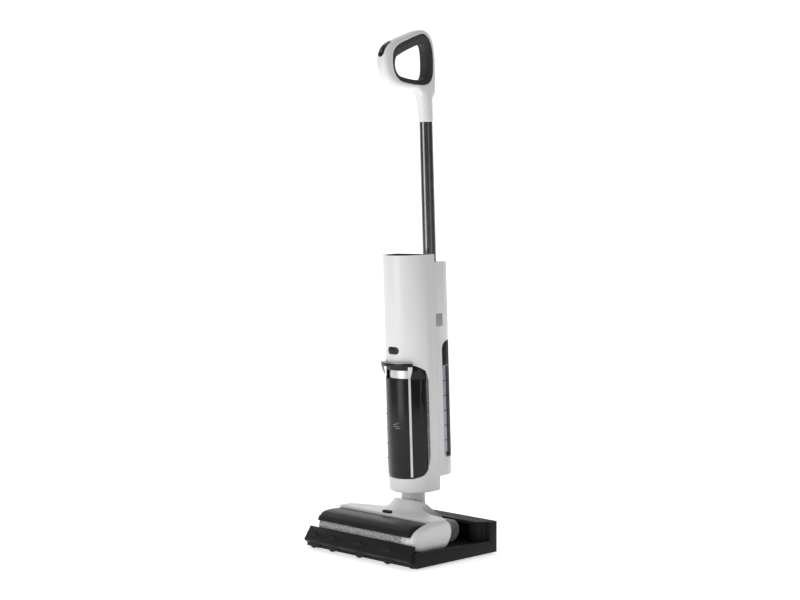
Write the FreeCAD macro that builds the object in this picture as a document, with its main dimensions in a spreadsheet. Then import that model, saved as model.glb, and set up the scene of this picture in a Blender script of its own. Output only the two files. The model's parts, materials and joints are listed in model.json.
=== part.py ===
import FreeCAD, Part
import math
import os
import re

import Sketcher
from FreeCAD import Placement, Rotation, Vector

# Wet dry floor scrubber standing in its charging and rinsing dock.
#
# Frame: millimetres, +Z up, origin on the floor at the middle of the dock's footprint,
# +X to the machine's left-hand side as it faces -Y, -Y towards the roller.
# The neck, the body and the stick are drawn upright about the tilt axis ("stick frame":
# X across, Y towards the back, Z along the stick) and then set down with one common
# Placement, which leans them forward against the tilt stop.

doc = FreeCAD.newDocument("floor_scrubber")

DIMENSIONS = [
    # charging dock
    ("dock_width", 328.0), ("dock_depth", 250.0), ("dock_skirt", 3.0),
    ("wall_front", 32.0), ("wall_rear", 28.0), ("wall_thick", 9.0),
    ("floor_top", 23.0), ("trough_floor", 14.0), ("tray_front", 112.0),
    ("lip_reach", 127.9), ("lip_top", 45.5), ("lip_bottom", 19.0), ("lip_half", 156.0),
    ("block_front", 84.0), ("block_top", 67.5), ("block_step", 104.0),
    ("recess_back", 112.0), ("recess_half", 124.0), ("block_left", 128.0), ("plate_bottom", 61.0),
    ("foot_radius", 9.0), ("contact_x", 50.0), ("contact_z", 40.0),
    # head
    ("roller_y", -80.0), ("roller_z", 48.6), ("sleeve_radius", 25.0), ("core_radius", 20.5),
    ("core_bore", 17.0), ("roller_left", -135.5), ("roller_right", 112.5),
    ("chamber_radius", 28.2), ("head_left", -140.0), ("head_right", 148.0),
    ("chassis_half", 134.0), ("chassis_bottom", 28.0), ("chassis_top", 75.0),
    ("shell_top", 84.0), ("shell_wall", 2.6),
    ("wheel_y", 57.0), ("wheel_radius", 23.4), ("wheel_z", 47.0), ("hub_radius", 18.5),
    ("wheel_inner", 76.0), ("wheel_width", 24.0), ("axle_radius", 4.0),
    # neck
    ("pivot_y", 46.0), ("pivot_z", 52.0), ("lean", 2.25), ("neck_radius", 25.0),
    ("yoke_half", 26.0), ("slot_half", 27.2), ("pin_radius", 5.0), ("duct_radius", 15.0),
    ("swivel_height", 44.0), ("running_gap", 0.06),
    # body
    ("body_axis", 6.0), ("body_radius", 55.0), ("rear_half", 54.0), ("seam", 26.0),
    ("rear_face", 86.0), ("rear_corner", 40.0), ("body_bottom", 72.0), ("body_top", 570.0),
    ("rear_bottom", 102.0), ("rear_top", 552.0), ("wall", 2.6),
    ("window_bottom", 102.0), ("window_top", 349.0), ("tank_radius", 54.2), ("tank_wall", 2.2),
    ("lid_bottom", 312.0), ("visor_radius", 65.0), ("clean_front", 43.0),
    ("clean_bottom", 139.0), ("clean_top", 387.0), ("clean_cap_bottom", 335.0),
    ("button_height", 372.0), ("motor_radius", 32.0), ("motor_axis", -8.0),
    # stick and handle
    ("tube_axis", 68.0), ("tube_radius", 14.0), ("tube_bore", 12.6),
    ("tube_bottom", 482.0), ("tube_top", 846.0), ("handle_half", 17.0),
    ("panel_length", 44.0), ("panel_width", 17.0),
    ("screw_radius", 1.6), ("screw_head", 3.2),
]

sheet = doc.addObject("Spreadsheet::Sheet", "Dims")
for row, (alias, value) in enumerate(DIMENSIONS, start=1):
    sheet.set("A%d" % row, alias)
    sheet.set("B%d" % row, str(value))
    sheet.setAlias("B%d" % row, alias)
doc.recompute()
DIM = {alias: float(sheet.get(alias)) for alias, _ in DIMENSIONS}

PIVOT = Vector(0, DIM["pivot_y"], DIM["pivot_z"])
LEAN = Placement(PIVOT, Rotation(Vector(1, 0, 0), DIM["lean"]))
HERE = Placement()
X_AXIS = Vector(1, 0, 0)
Y_AXIS = Vector(0, 1, 0)
Z_AXIS = Vector(0, 0, 1)
TURN_TO = {"x": Rotation(Y_AXIS, 90), "y": Rotation(X_AXIS, -90), "z": Rotation()}

nodes = []
count = {"made": 0}


# ---------------------------------------------------------------- building blocks

def cells(text):
    """An expression in which every word is an alias of the sheet."""
    return re.sub(r"[a-z][a-z_]*", lambda word: "Dims." + word.group(0), str(text))


def value_of(text):
    """The number that a simple sum of aliases and numbers stands for."""
    total = 0.0
    for sign, term in re.findall(r"([+-]?)\s*([a-z_]+|[0-9.]+)", str(text)):
        amount = DIM[term] if term in DIM else float(term)
        total += -amount if sign == "-" else amount
    return total


def fresh(kind, stem):
    """A new document object with a name of its own."""
    count["made"] += 1
    return doc.addObject(kind, "%s_%d" % (stem, count["made"]))


def set_base(feature, corner):
    """Binds a feature's position to the sheet."""
    for axis, text in zip("xyz", corner):
        feature.setExpression(".Placement.Base." + axis, cells(text))


def block(x0, x1, y0, y1, z0, z1):
    """A box between three pairs of sheet expressions."""
    box = fresh("Part::Box", "block")
    for side, (low, high) in zip(("Length", "Width", "Height"), ((x0, x1), (y0, y1), (z0, z1))):
        box.setExpression(side, cells("%s - (%s)" % (high, low)))
    set_base(box, (x0, y0, z0))
    return box


def rod(radius, length, at, along="z"):
    """A cylinder that starts at a point and runs along +X, +Y or +Z."""
    bar = fresh("Part::Cylinder", "rod")
    bar.setExpression("Radius", cells(radius))
    bar.setExpression("Height", cells(length))
    bar.Placement = Placement(Vector(), TURN_TO[along])
    set_base(bar, at)
    return bar


def fuse(*parts):
    """One solid from several."""
    if len(parts) == 1:
        return parts[0]
    joined = fresh("Part::MultiFuse", "fuse")
    joined.Shapes = list(parts)
    return joined


def cut(base, *tools):
    """A solid less the tools."""
    cutting = fresh("Part::Cut", "cut")
    cutting.Base = base
    cutting.Tool = fuse(*tools)
    return cutting


def shaped(shape):
    """A document object that holds a shape made with Part's own functions."""
    feature = fresh("Part::Feature", "shape")
    feature.Shape = shape
    return feature


def node(name, feature, place=HERE):
    """Names a finished sub-part and sets it in the machine."""
    if place != HERE and any(".Base." in path for path, _ in feature.ExpressionEngine):
        whole = fresh("Part::Refine", "whole")
        whole.Source = feature
        feature = whole
    feature.Label = name
    if place != HERE:
        feature.Placement = place.multiply(feature.Placement)
    nodes.append(feature)
    return feature


def ring(outer, inner, length, at, along="z"):
    """A tube between two radii, with its bore right through."""
    start = list(at)
    slot = "xyz".index(along)
    start[slot] = "%s - 1" % at[slot]
    return cut(rod(outer, length, at, along), rod(inner, "%s + 2" % length, start, along))


def outline_face(wire_edges):
    """A planar face inside a closed run of edges."""
    return Part.Face(Part.Wire(Part.__sortEdges__(wire_edges)))


def polygon_x(points, x0, x1):
    """A prism along X over (y, z) corners."""
    corners = [Vector(x0, y, z) for y, z in points]
    face = Part.Face(Part.makePolygon(corners + corners[:1]))
    return face.extrude(Vector(x1 - x0, 0, 0))


def closed_curve_x(points, x0, x1):
    """A prism along X over a smooth closed outline through (y, z) points."""
    curve = Part.BSplineCurve()
    curve.interpolate([Vector(x0, y, z) for y, z in points], PeriodicFlag=True)
    face = Part.Face(Part.Wire([curve.toShape()]))
    return face.extrude(Vector(x1 - x0, 0, 0))


def front_outline(radius, back, bottom, top):
    """The half-round front of the body: a semicircle with straight sides back to a plane."""
    middle = DIM["body_axis"]
    left = Vector(-radius, middle, bottom)
    right = Vector(radius, middle, bottom)
    nose = Vector(0, middle - radius, bottom)
    corners = [right, Vector(radius, back, bottom), Vector(-radius, back, bottom), left]
    edges = [Part.Arc(left, nose, right).toShape()]
    edges += [Part.LineSegment(a, b).toShape() for a, b in zip(corners, corners[1:])]
    return outline_face(edges).extrude(Vector(0, 0, top - bottom))


def rear_outline(half, front, back, corner, bottom, top):
    """The back of the body: a flat front edge and two round corners at the back."""
    slack = corner * (1 - math.sqrt(0.5))
    a = Vector(-half, front, bottom)
    b = Vector(-half, back - corner, bottom)
    c = Vector(-half + corner, back, bottom)
    d = Vector(half - corner, back, bottom)
    e = Vector(half, back - corner, bottom)
    f = Vector(half, front, bottom)
    sides = [(p, q) for p, q in ((a, b), (c, d), (e, f), (f, a)) if p.distanceToPoint(q) > 0.01]
    edges = [Part.LineSegment(p, q).toShape() for p, q in sides]
    edges.append(Part.Arc(b, Vector(-half + slack, back - slack, bottom), c).toShape())
    edges.append(Part.Arc(d, Vector(half - slack, back - slack, bottom), e).toShape())
    return outline_face(edges).extrude(Vector(0, 0, top - bottom))


def sector(inner, outer, bottom, top, start, end):
    """A curved wall about the body's axis, between two angles from the front centre."""
    middle = Vector(0, DIM["body_axis"], bottom)
    swept = end - start
    place = Placement(middle, Rotation(Z_AXIS, start - 90))
    wedge = Part.makeCylinder(outer, top - bottom, Vector(), Z_AXIS, swept)
    wall = wedge.cut(Part.makeCylinder(inner, top - bottom, Vector(), Z_AXIS, 360))
    wall.Placement = place
    return wall


# ---------------------------------------------------------------- sketched bodies

def new_body(stem):
    """An empty PartDesign body."""
    return fresh("PartDesign::Body", stem)


def sketch_on(body, role, offset=(0, 0, 0)):
    """A sketch on one of the body's own origin planes, moved by an offset in that plane's frame."""
    plane = next(item for item in body.Origin.OriginFeatures if item.Role == role)
    count["made"] += 1
    sketch = body.newObject("Sketcher::SketchObject", "sketch_%d" % count["made"])
    sketch.AttachmentSupport = [(plane, "")]
    sketch.MapMode = "FlatFace"
    for axis, text in zip("xyz", offset):
        sketch.setExpression(".AttachmentOffset.Base." + axis, cells(text))
    return sketch


def draw_circle(sketch, radius):
    """A circle about the sketch's origin."""
    index = sketch.addGeometry(Part.Circle(Vector(), Z_AXIS, value_of(radius)), False)
    sketch.addConstraint(Sketcher.Constraint("Coincident", index, 3, -1, 1))
    bound = sketch.addConstraint(Sketcher.Constraint("Radius", index, value_of(radius)))
    sketch.setExpression("Constraints[%d]" % bound, cells(radius))


def draw_pill(sketch, length, width):
    """A slot shape about the sketch's origin: two half circles joined by straight sides."""
    reach = (value_of(length) - value_of(width)) / 2
    round_end = value_of(width) / 2
    right = Part.ArcOfCircle(Part.Circle(Vector(reach, 0, 0), Z_AXIS, round_end), -math.pi / 2, math.pi / 2)
    left = Part.ArcOfCircle(Part.Circle(Vector(-reach, 0, 0), Z_AXIS, round_end), math.pi / 2, 1.5 * math.pi)
    arc_r = sketch.addGeometry(right, False)
    arc_l = sketch.addGeometry(left, False)
    top = sketch.addGeometry(Part.LineSegment(Vector(reach, round_end), Vector(-reach, round_end)), False)
    low = sketch.addGeometry(Part.LineSegment(Vector(-reach, -round_end), Vector(reach, -round_end)), False)
    for first, first_end, second, second_end in ((arc_r, 2, top, 1), (top, 2, arc_l, 1),
                                                 (arc_l, 2, low, 1), (low, 2, arc_r, 1)):
        sketch.addConstraint(Sketcher.Constraint("Tangent", first, first_end, second, second_end))
    sketch.addConstraint(Sketcher.Constraint("Symmetric", arc_r, 3, arc_l, 3, -1, 1))
    sketch.addConstraint(Sketcher.Constraint("Horizontal", top))
    bound = sketch.addConstraint(Sketcher.Constraint("Radius", arc_r, round_end))
    sketch.setExpression("Constraints[%d]" % bound, cells("(%s) / 2" % width))
    bound = sketch.addConstraint(Sketcher.Constraint("DistanceX", top, 2, top, 1, 2 * reach))
    sketch.setExpression("Constraints[%d]" % bound, cells("(%s) - (%s)" % (length, width)))


def pad(body, sketch, length, backwards=False):
    """Grows a sketch into a solid."""
    count["made"] += 1
    feature = body.newObject("PartDesign::Pad", "pad_%d" % count["made"])
    feature.Profile = sketch
    feature.setExpression("Length", cells(length))
    feature.Reversed = backwards
    return feature


def pocket(body, sketch, depth, backwards=False):
    """Sinks a sketch into the body and checks that it removes material."""
    doc.recompute()
    before = body.Shape.Volume
    count["made"] += 1
    feature = body.newObject("PartDesign::Pocket", "pocket_%d" % count["made"])
    feature.Profile = sketch
    feature.setExpression("Length", cells(depth))
    feature.Reversed = backwards
    doc.recompute()
    if body.Shape.Volume > before - 0.01:
        raise RuntimeError("a pocket in %s removes nothing" % body.Name)
    return feature


def round_disc(stem, radius, thick):
    """A round disc, drawn as a body about its own origin."""
    body = new_body(stem)
    disc = sketch_on(body, "XY_Plane")
    draw_circle(disc, radius)
    pad(body, disc, thick)
    return body


def pill_plate(stem, length, width, thick):
    """A flat pill-shaped plate, drawn as a body about its own origin."""
    body = new_body(stem)
    outline = sketch_on(body, "XY_Plane")
    draw_pill(outline, length, width)
    pad(body, outline, thick)
    return body


def screws(places, length, along="z", flip=False):
    """A group of cheese-head screws: each point is the underside of a head."""
    solids = []
    direction = {"x": X_AXIS, "y": Y_AXIS, "z": Z_AXIS}[along] * (-1 if flip else 1)
    for place in places:
        start = Vector(*place)
        head = Part.makeCylinder(DIM["screw_head"], 2.0, start, direction)
        shank = Part.makeCylinder(DIM["screw_radius"], length, start - direction * length, direction)
        socket = Part.makeCylinder(1.3, 1.2, start + direction * 0.9, direction)
        solids.append(head.fuse(shank).cut(socket))
    return shaped(Part.makeCompound(solids))


# ---------------------------------------------------------------- charging dock

CONTACTS = ("-contact_x", "contact_x")
COVER_SCREWS = [(x, y) for x in (-140, -70, 30, 140) for y in (-38, 118.7)]


def dock_tray():
    """The moulded tray: side walls, roller trough, overhanging front lip and rear block."""
    half = DIM["dock_width"] / 2
    back = DIM["dock_depth"] / 2
    low = DIM["dock_skirt"]
    front = -DIM["tray_front"]
    side = [(front, low), (back, low), (back, DIM["wall_rear"]), (front, DIM["wall_front"])]
    base = shaped(polygon_x(side, -half, half))
    lip_top = DIM["lip_top"]
    lip = [(-DIM["lip_reach"], DIM["lip_bottom"]), (-109.5, lip_top), (-107.4, lip_top), (-111.0, 30.0),
           (-111.0, 12.0), (-119.0, 12.0)]
    skirt = shaped(polygon_x(lip, -DIM["lip_half"], DIM["lip_half"]))
    humps = [rod("16", "20", (str(x), "-tray_front - 10", "dock_skirt + 16"), "y") for x in (-132, -75, 7, 90)]
    rear = block("-block_left", "dock_width / 2", "block_front", "dock_depth / 2", "floor_top", "block_top")
    whole = fuse(base, skirt, rear, *humps)
    bay = block("wall_thick - dock_width / 2", "dock_width / 2 - wall_thick", "-tray_front + 6", "block_front + 0.5",
                "floor_top", "block_top")
    trough = block("wall_thick - dock_width / 2 + 3", "dock_width / 2 - wall_thick - 3", "-tray_front + 3.5", "-50",
                   "trough_floor", "floor_top + 1")
    recess = block("-recess_half", "recess_half", "block_front - 1", "recess_back", "floor_top", "plate_bottom")
    notch = block("-neck_radius - 3", "neck_radius + 3", "block_front - 1", "block_front + 14", "plate_bottom - 1",
                  "block_top + 1")
    step = block("dock_width / 2 - wall_thick - 0.5", "dock_width / 2 + 1", "block_front - 1", "block_step",
                 "wall_rear + 0.5", "block_top + 1")
    groove = rod("8", "block_top", ("152", "block_front + 2", "floor_top"))
    hollow = block("wall_thick - block_left", "dock_width / 2 - wall_thick", "recess_back + 2.4",
                   "dock_depth / 2 - 2.4", "-1", "block_top - 2.6")
    under = block("wall_thick - dock_width / 2", "dock_width / 2 - wall_thick", "-45", "dock_depth / 2 - 2.4", "-1",
                  "floor_top - 3")
    jack = rod("6.1", "8", ("-100", "dock_depth / 2 - 6", "20"), "y")
    hollowed = cut(whole, bay, trough, recess, notch, hollow, under, jack, step, groove)
    posts = [rod("4.5", "floor_top - 5 - dock_skirt", (str(x), str(y), "dock_skirt + 2")) for x, y in COVER_SCREWS]
    holes = [rod("screw_radius", "8.2", (str(x), str(y), "dock_skirt")) for x, y in COVER_SCREWS]
    node("dock_tray", cut(fuse(hollowed, *posts), *holes))


def dock_pieces():
    """What is fastened to the tray: feet, bottom cover, contacts, board and power inlet."""
    spots = [(x, y) for x in (-140, 143) for y in (-98, 100)] + [(-97, -98), (0, 92)]
    feet = [rod("foot_radius", "dock_skirt", (str(x), str(y), "0")) for x, y in spots]
    node("dock_feet", fuse(*feet))
    cover = block("wall_thick - dock_width / 2 + 0.2", "dock_width / 2 - wall_thick - 0.2", "-44.8",
                  "dock_depth / 2 - 2.6", "dock_skirt", "dock_skirt + 2")
    cover_holes = [rod("screw_radius + 0.1", "6", (str(x), str(y), "dock_skirt - 1")) for x, y in COVER_SCREWS]
    node("dock_bottom_cover", cut(cover, *cover_holes))
    places = [(x, y, DIM["dock_skirt"]) for x, y in COVER_SCREWS]
    node("dock_screws", screws(places, 8.0, "z", flip=True))
    blocks = [block(x + " - 14", x + " + 14", "76", "recess_back", "floor_top", "contact_z + 8") for x in CONTACTS]
    bores = [rod("2.8", "20", (x, "75", "contact_z"), "y") for x in CONTACTS]
    node("dock_contact_block", cut(fuse(*blocks), *bores))
    pins = [fuse(rod("2.7", "10", (x, "76", "contact_z"), "y"), rod("2", "6", (x, "70.4", "contact_z"), "y"))
            for x in CONTACTS]
    node("dock_contact_pins", fuse(*pins))
    node("dock_circuit_board", block("-60", "60", "116", "117.6", "20", "56"))
    inlet = cut(rod("6", "9", ("-100", "dock_depth / 2 - 9.6", "20"), "y"),
                rod("3.2", "8", ("-100", "dock_depth / 2 - 8", "20"), "y"))
    node("dock_power_inlet", inlet)


# ---------------------------------------------------------------- head

def head_chassis():
    """The black frame of the head: roller chamber, inner bay and two arms to the tilt axis."""
    middle = block("-chassis_half", "chassis_half", "-74", "10", "chassis_bottom", "chassis_top")
    arms = block("-72", "72", "8", "66", "chassis_bottom", "60")
    whole = fuse(middle, arms)
    chamber = rod("chamber_radius", "2 * chassis_half + 2", ("-chassis_half - 1", "roller_y", "roller_z"), "x")
    bay = block("-chassis_half + 3", "chassis_half - 3", "-44", "7.2", "chassis_bottom + 3", "chassis_top + 1")
    slot = block("-slot_half", "slot_half", "17", "67", "chassis_bottom - 1", "61")
    pin_hole = rod("pin_radius", "96", ("-48", "pivot_y", "pivot_z"), "x")
    axle_hole = rod("axle_radius", "160", ("-80", "wheel_y", "wheel_z"), "x")
    duct = rod("duct_radius", "30", ("0", "-60", "roller_z"), "y")
    outlet = rod("duct_radius", "20", ("0", "5", "roller_z"), "y")
    spray = rod("2.3", "240", ("-120", "-63", "70.6"), "x")
    bolts = [rod("screw_radius", "12", ("%d" % x, "-58", "chassis_top - 11")) for x in (-124, 124)]
    rebate = block("-chassis_half - 1", "chassis_half + 1", "-44", "-40.8", "65.5", "chassis_top + 1")
    node("head_chassis", cut(whole, chamber, bay, slot, pin_hole, axle_hole, duct, outlet, spray, rebate, *bolts))


def shell_plan(inset, bottom, top):
    """The head's plan behind the roller cover, pulled in by an inset, as a prism."""
    left = DIM["head_left"] + inset
    right = DIM["head_right"] - inset
    corners = [(left, -40.6 + inset), (left, -9 - inset), (-97, 9 - inset), (-62, 22 - inset), (62, 22 - inset),
               (97, 15 - inset), (right, 0 - inset), (right, -34 + inset), (right - 14, -40.6 + inset)]
    points = [Vector(x, y, bottom) for x, y in corners]
    return Part.Face(Part.makePolygon(points + points[:1])).extrude(Vector(0, 0, top - bottom))


def hump(grow):
    """The flared hump round the neck: a turned flare about the upright axis through the pivot."""
    profile = [(0, 60), (72, 60), (72, 82), (58, 87), (47, 97), (38, 108), (28, 109.5), (0, 109.5)]
    points = [Vector(max(r - grow, 0), 0, z - (grow if z > 61 else 0)) for r, z in profile]
    face = Part.Face(Part.makePolygon(points + points[:1]))
    turned = face.revolve(Vector(), Z_AXIS, 360)
    turned.translate(Vector(0, DIM["pivot_y"], 0))
    return turned


def head_top_shell():
    """The white top shell with its flared hump; a slot at the back lets the neck tilt."""
    top = DIM["shell_top"]
    wall = DIM["shell_wall"]
    plate = shell_plan(0, 66, top)
    inside = shell_plan(wall, 60, top - wall)
    flare = hump(0)
    reach = polygon_x([(-60, 70), (-60, 120), (52, 120), (86, 66), (86, 60), (23, 60), (23, 70)], -46, 46)
    flare = flare.common(reach).common(Part.makeBox(200, 130, 90, Vector(-100, -40.6, 60)))
    hollow = hump(wall).common(reach)
    whole = plate.fuse(flare).cut(inside.fuse(hollow))
    half = DIM["slot_half"]
    slot = Part.makeBox(2 * half, 90, 80, Vector(-half, DIM["pivot_y"] - 27.4, 40))
    whole = whole.cut(slot)
    whole = whole.cut(Part.makeBox(26, 16, 6, Vector(-13, -41, top - 4)))
    half = DIM["chassis_half"] + 0.2
    whole = whole.cut(Part.makeBox(2 * half, 84.2, 47.2, Vector(-half, -74, DIM["chassis_bottom"])))
    whole = whole.cut(Part.makeBox(144.4, 80, 60.2 - DIM["chassis_bottom"], Vector(-72.2, 0, DIM["chassis_bottom"])))
    node("head_top_shell", shaped(max(whole.Solids, key=lambda solid: solid.Volume)))


def cap_profile(inset):
    """The side cap's outline in (y, z)."""
    return [(-104 + inset, 50), (-103.5 + inset, 41), (-97 + inset, 30), (-84, 25.4 + inset), (-14, 25.4 + inset),
            (-1 - inset, 30), (8 - inset, 42), (11 - inset, 57), (7 - inset, 72), (0 - inset, 65.5 - inset / 2),
            (-40, 65.5 - inset / 2), (-70, 72 - inset), (-92 + inset, 66)]


def side_caps():
    """The bulged cap at the right end and the thin plate at the left end."""
    right = DIM["head_right"]
    outer = polygon_x(cap_profile(0), 136.6, right)
    edges = [edge for edge in outer.Edges if abs(edge.BoundBox.XMin - right) < 0.01]
    outer = outer.makeFillet(5.0, edges)
    inner = polygon_x(cap_profile(3.0), 136.0, right - 3)
    node("side_cap_right", shaped(outer.cut(inner)))
    plate = polygon_x(cap_profile(4.5), DIM["head_left"], -136.4)
    node("side_cap_left", shaped(plate))


def roller_cover():
    """The black lift-off cover over the roller, with a flat top and a steep front."""
    outer = [(-41.2, 66), (-41.2, 79.6), (-70, 80.2), (-92, 77), (-104, 70.5), (-109, 60)]
    inner = [(-107.5, 60), (-102.4, 68.6), (-91, 74.5), (-70, 77.5), (-43.6, 77), (-43.6, 66)]
    wall = polygon_x(outer + inner, -139.5, 136.2)
    cheek = polygon_x([(-41.2, 76.5), (-41.2, 79.6), (-70, 80.2), (-92, 77), (-104, 70.5), (-109, 60), (-96, 74),
                       (-70, 76.5)], -139.5, -137.0)
    node("roller_cover", shaped(wall.fuse(cheek).removeSplitter()))
    latch = pill_plate("latch", "24", "11", "3.6")
    latch.Placement = Placement(Vector(0, -33.5, 81.2), Rotation())
    node("cover_latch", latch)


def roller():
    """The fabric roller with the motor inside its core."""
    axis = ("roller_y", "roller_z")
    length = "roller_right - (roller_left)"
    sleeve = ring("sleeve_radius", "core_radius", length, ("roller_left", *axis), "x")
    node("roller_sleeve", sleeve)
    tube = ring("core_radius", "core_bore", length, ("roller_left", *axis), "x")
    hub = cut(rod("core_bore + 1", "10", ("-38", *axis), "x"), rod("4.06", "12", ("-39", *axis), "x"))
    node("roller_core", fuse(tube, hub))
    motor = fuse(rod("15.5", "86", ("-134", *axis), "x"), rod("4", "20", ("-49", *axis), "x"),
                 rod("16.4", "2.2", ("-136.2", *axis), "x"))
    node("brush_motor", motor)
    bearing = ring("core_bore", "6.06", "8", ("roller_right - 10", *axis), "x")
    node("roller_bearing", bearing)
    tab = fuse(rod("23.5", "22", ("roller_right + 0.8", *axis), "x"), rod("6", "14", ("roller_right - 12", *axis), "x"),
               rod("8", "1.2", ("roller_right - 0.6", *axis), "x"))
    node("roller_end_tab", tab)


def head_inner():
    """Scraper, spray bar, squeegee, air duct, charge pads and fasteners of the head."""
    node("scraper_bar", block("-118", "110", "-54.6", "-52.05", "45.5", "51.5"))
    node("spray_bar", rod("2.2", "236", ("-118", "-63", "70.6"), "x"))
    node("floor_squeegee", block("-130", "130", "-47", "-44", "24", "chassis_bottom"))
    node("head_duct", cut(rod("duct_radius - 0.1", "66", ("0", "-50", "roller_z"), "y"),
                          rod("duct_radius - 2", "70", ("0", "-52", "roller_z"), "y")))
    pads = [block(x + " - 5", x + " + 5", "66", "67.4", "contact_z - 5", "contact_z + 5") for x in CONTACTS]
    node("head_charge_pads", fuse(*pads))
    node("head_screws", screws([(x, -58, DIM["chassis_top"]) for x in (-124, 124)], 10.0))


def wheels():
    """Two rear wheels, each a hub with a soft tyre, on steel stub axles."""
    for side, start in (("right", DIM["wheel_inner"]), ("left", -DIM["wheel_inner"] - DIM["wheel_width"])):
        at = ("%.3f" % start, "wheel_y", "wheel_z")
        hub = ring("hub_radius", "axle_radius + running_gap", "wheel_width", at, "x")
        node("wheel_hub_" + side, hub)
        tyre = ring("wheel_radius", "hub_radius", "wheel_width", at, "x")
        node("wheel_tyre_" + side, tyre)
    axles = [rod("axle_radius", "44", (x, "wheel_y", "wheel_z"), "x") for x in ("56", "-100")]
    caps = [rod("axle_radius + 3", "1.6", (x, "wheel_y", "wheel_z"), "x") for x in ("100.4", "-102")]
    tips = [rod("axle_radius", "1", (x, "wheel_y", "wheel_z"), "x") for x in ("99.8", "-100.8")]
    node("wheel_axles", fuse(*axles, *caps, *tips))


# ---------------------------------------------------------------- neck

def neck():
    """The yoke that tilts on two pins and carries the swivel."""
    barrel = rod("neck_radius - 0.2", "2 * yoke_half", ("-yoke_half", "0", "0"), "x")
    column = rod("neck_radius", "swivel_height", ("0", "0", "0"))
    spigot = rod("21", "16", ("0", "0", "swivel_height - 0.5"))
    bore = rod("16", "90", ("0", "0", "-8"))
    mouth = rod("14", "40", ("0", "-40", "0"), "y")
    pin_holes = rod("pin_radius + running_gap", "60", ("-30", "0", "0"), "x")
    node("neck_yoke", cut(fuse(barrel, column, spigot), bore, mouth, pin_holes), LEAN)
    pins = [rod("pin_radius", "29", (x, "pivot_y", "pivot_z"), "x") for x in ("18", "-47")]
    node("hinge_pins", fuse(*pins))
    hose = ring("15", "12.6", "48", ("0", "0", "10"))
    node("suction_hose", hose, LEAN)
    collar = cut(rod("neck_radius", "body_bottom - swivel_height + 4", ("0", "0", "swivel_height + 0.3")),
                 rod("21.06", "40", ("0", "0", "swivel_height - 4")), rod("23.2", "3.4", ("0", "0", "59.8")))
    node("swivel_collar", collar, LEAN)


# ---------------------------------------------------------------- body

BOSSES = [(x, z) for x in (-46.8, 46.8) for z in (384, 540)]


def window_side(gap):
    """The corners of the front window's side view, bottom part then top part, in the stick frame's Y and Z."""
    top = DIM["window_top"] - gap
    low = DIM["window_bottom"] + gap
    edge = 0.3 - gap
    start = [(-70, low - 1), (-33, low + 1.5), (-15, low + 7.5), (-6, low + 17), (edge, low + 48)]
    end = [(edge, top - 42), (-6, top - 20), (-19, top - 12.5), (-38, top - 4), (-70, top + 1)]
    return start, end


def window_cutter(gap=0.0):
    """The side view of the front window, cut right through the body's half-round front."""
    start, end = window_side(gap)
    return polygon_x(start + end, -70, 70)


def tank_passage(gap, shrink):
    """What fits through the front window when it moves straight out along the stick frame's Y."""
    inner = DIM["body_radius"] - DIM["wall"]
    nose = DIM["body_axis"] - inner
    narrowing = 1 - shrink / inner
    start, end = window_side(gap)
    half = []
    for corners, rise in ((start, shrink), (list(reversed(end)), -shrink)):
        side = []
        for (y, z), (next_y, next_z) in zip(corners, corners[1:] + corners[-1:]):
            if y < nose:
                z += (next_z - z) * (nose - y) / (next_y - y)
                y = nose
            across = math.sqrt(max(inner ** 2 - (DIM["body_axis"] - y) ** 2, 0.0)) * narrowing
            side.append((across, z + rise))
        half.append(side)
    right = half[0] + list(reversed(half[1]))
    left = [(-x, z) for x, z in reversed(right) if x > 0]
    corners = [Vector(x, -100, z) for x, z in right + left]
    face = Part.Face(Part.makePolygon(corners + corners[:1]))
    return face.extrude(Vector(0, 200, 0))


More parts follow.
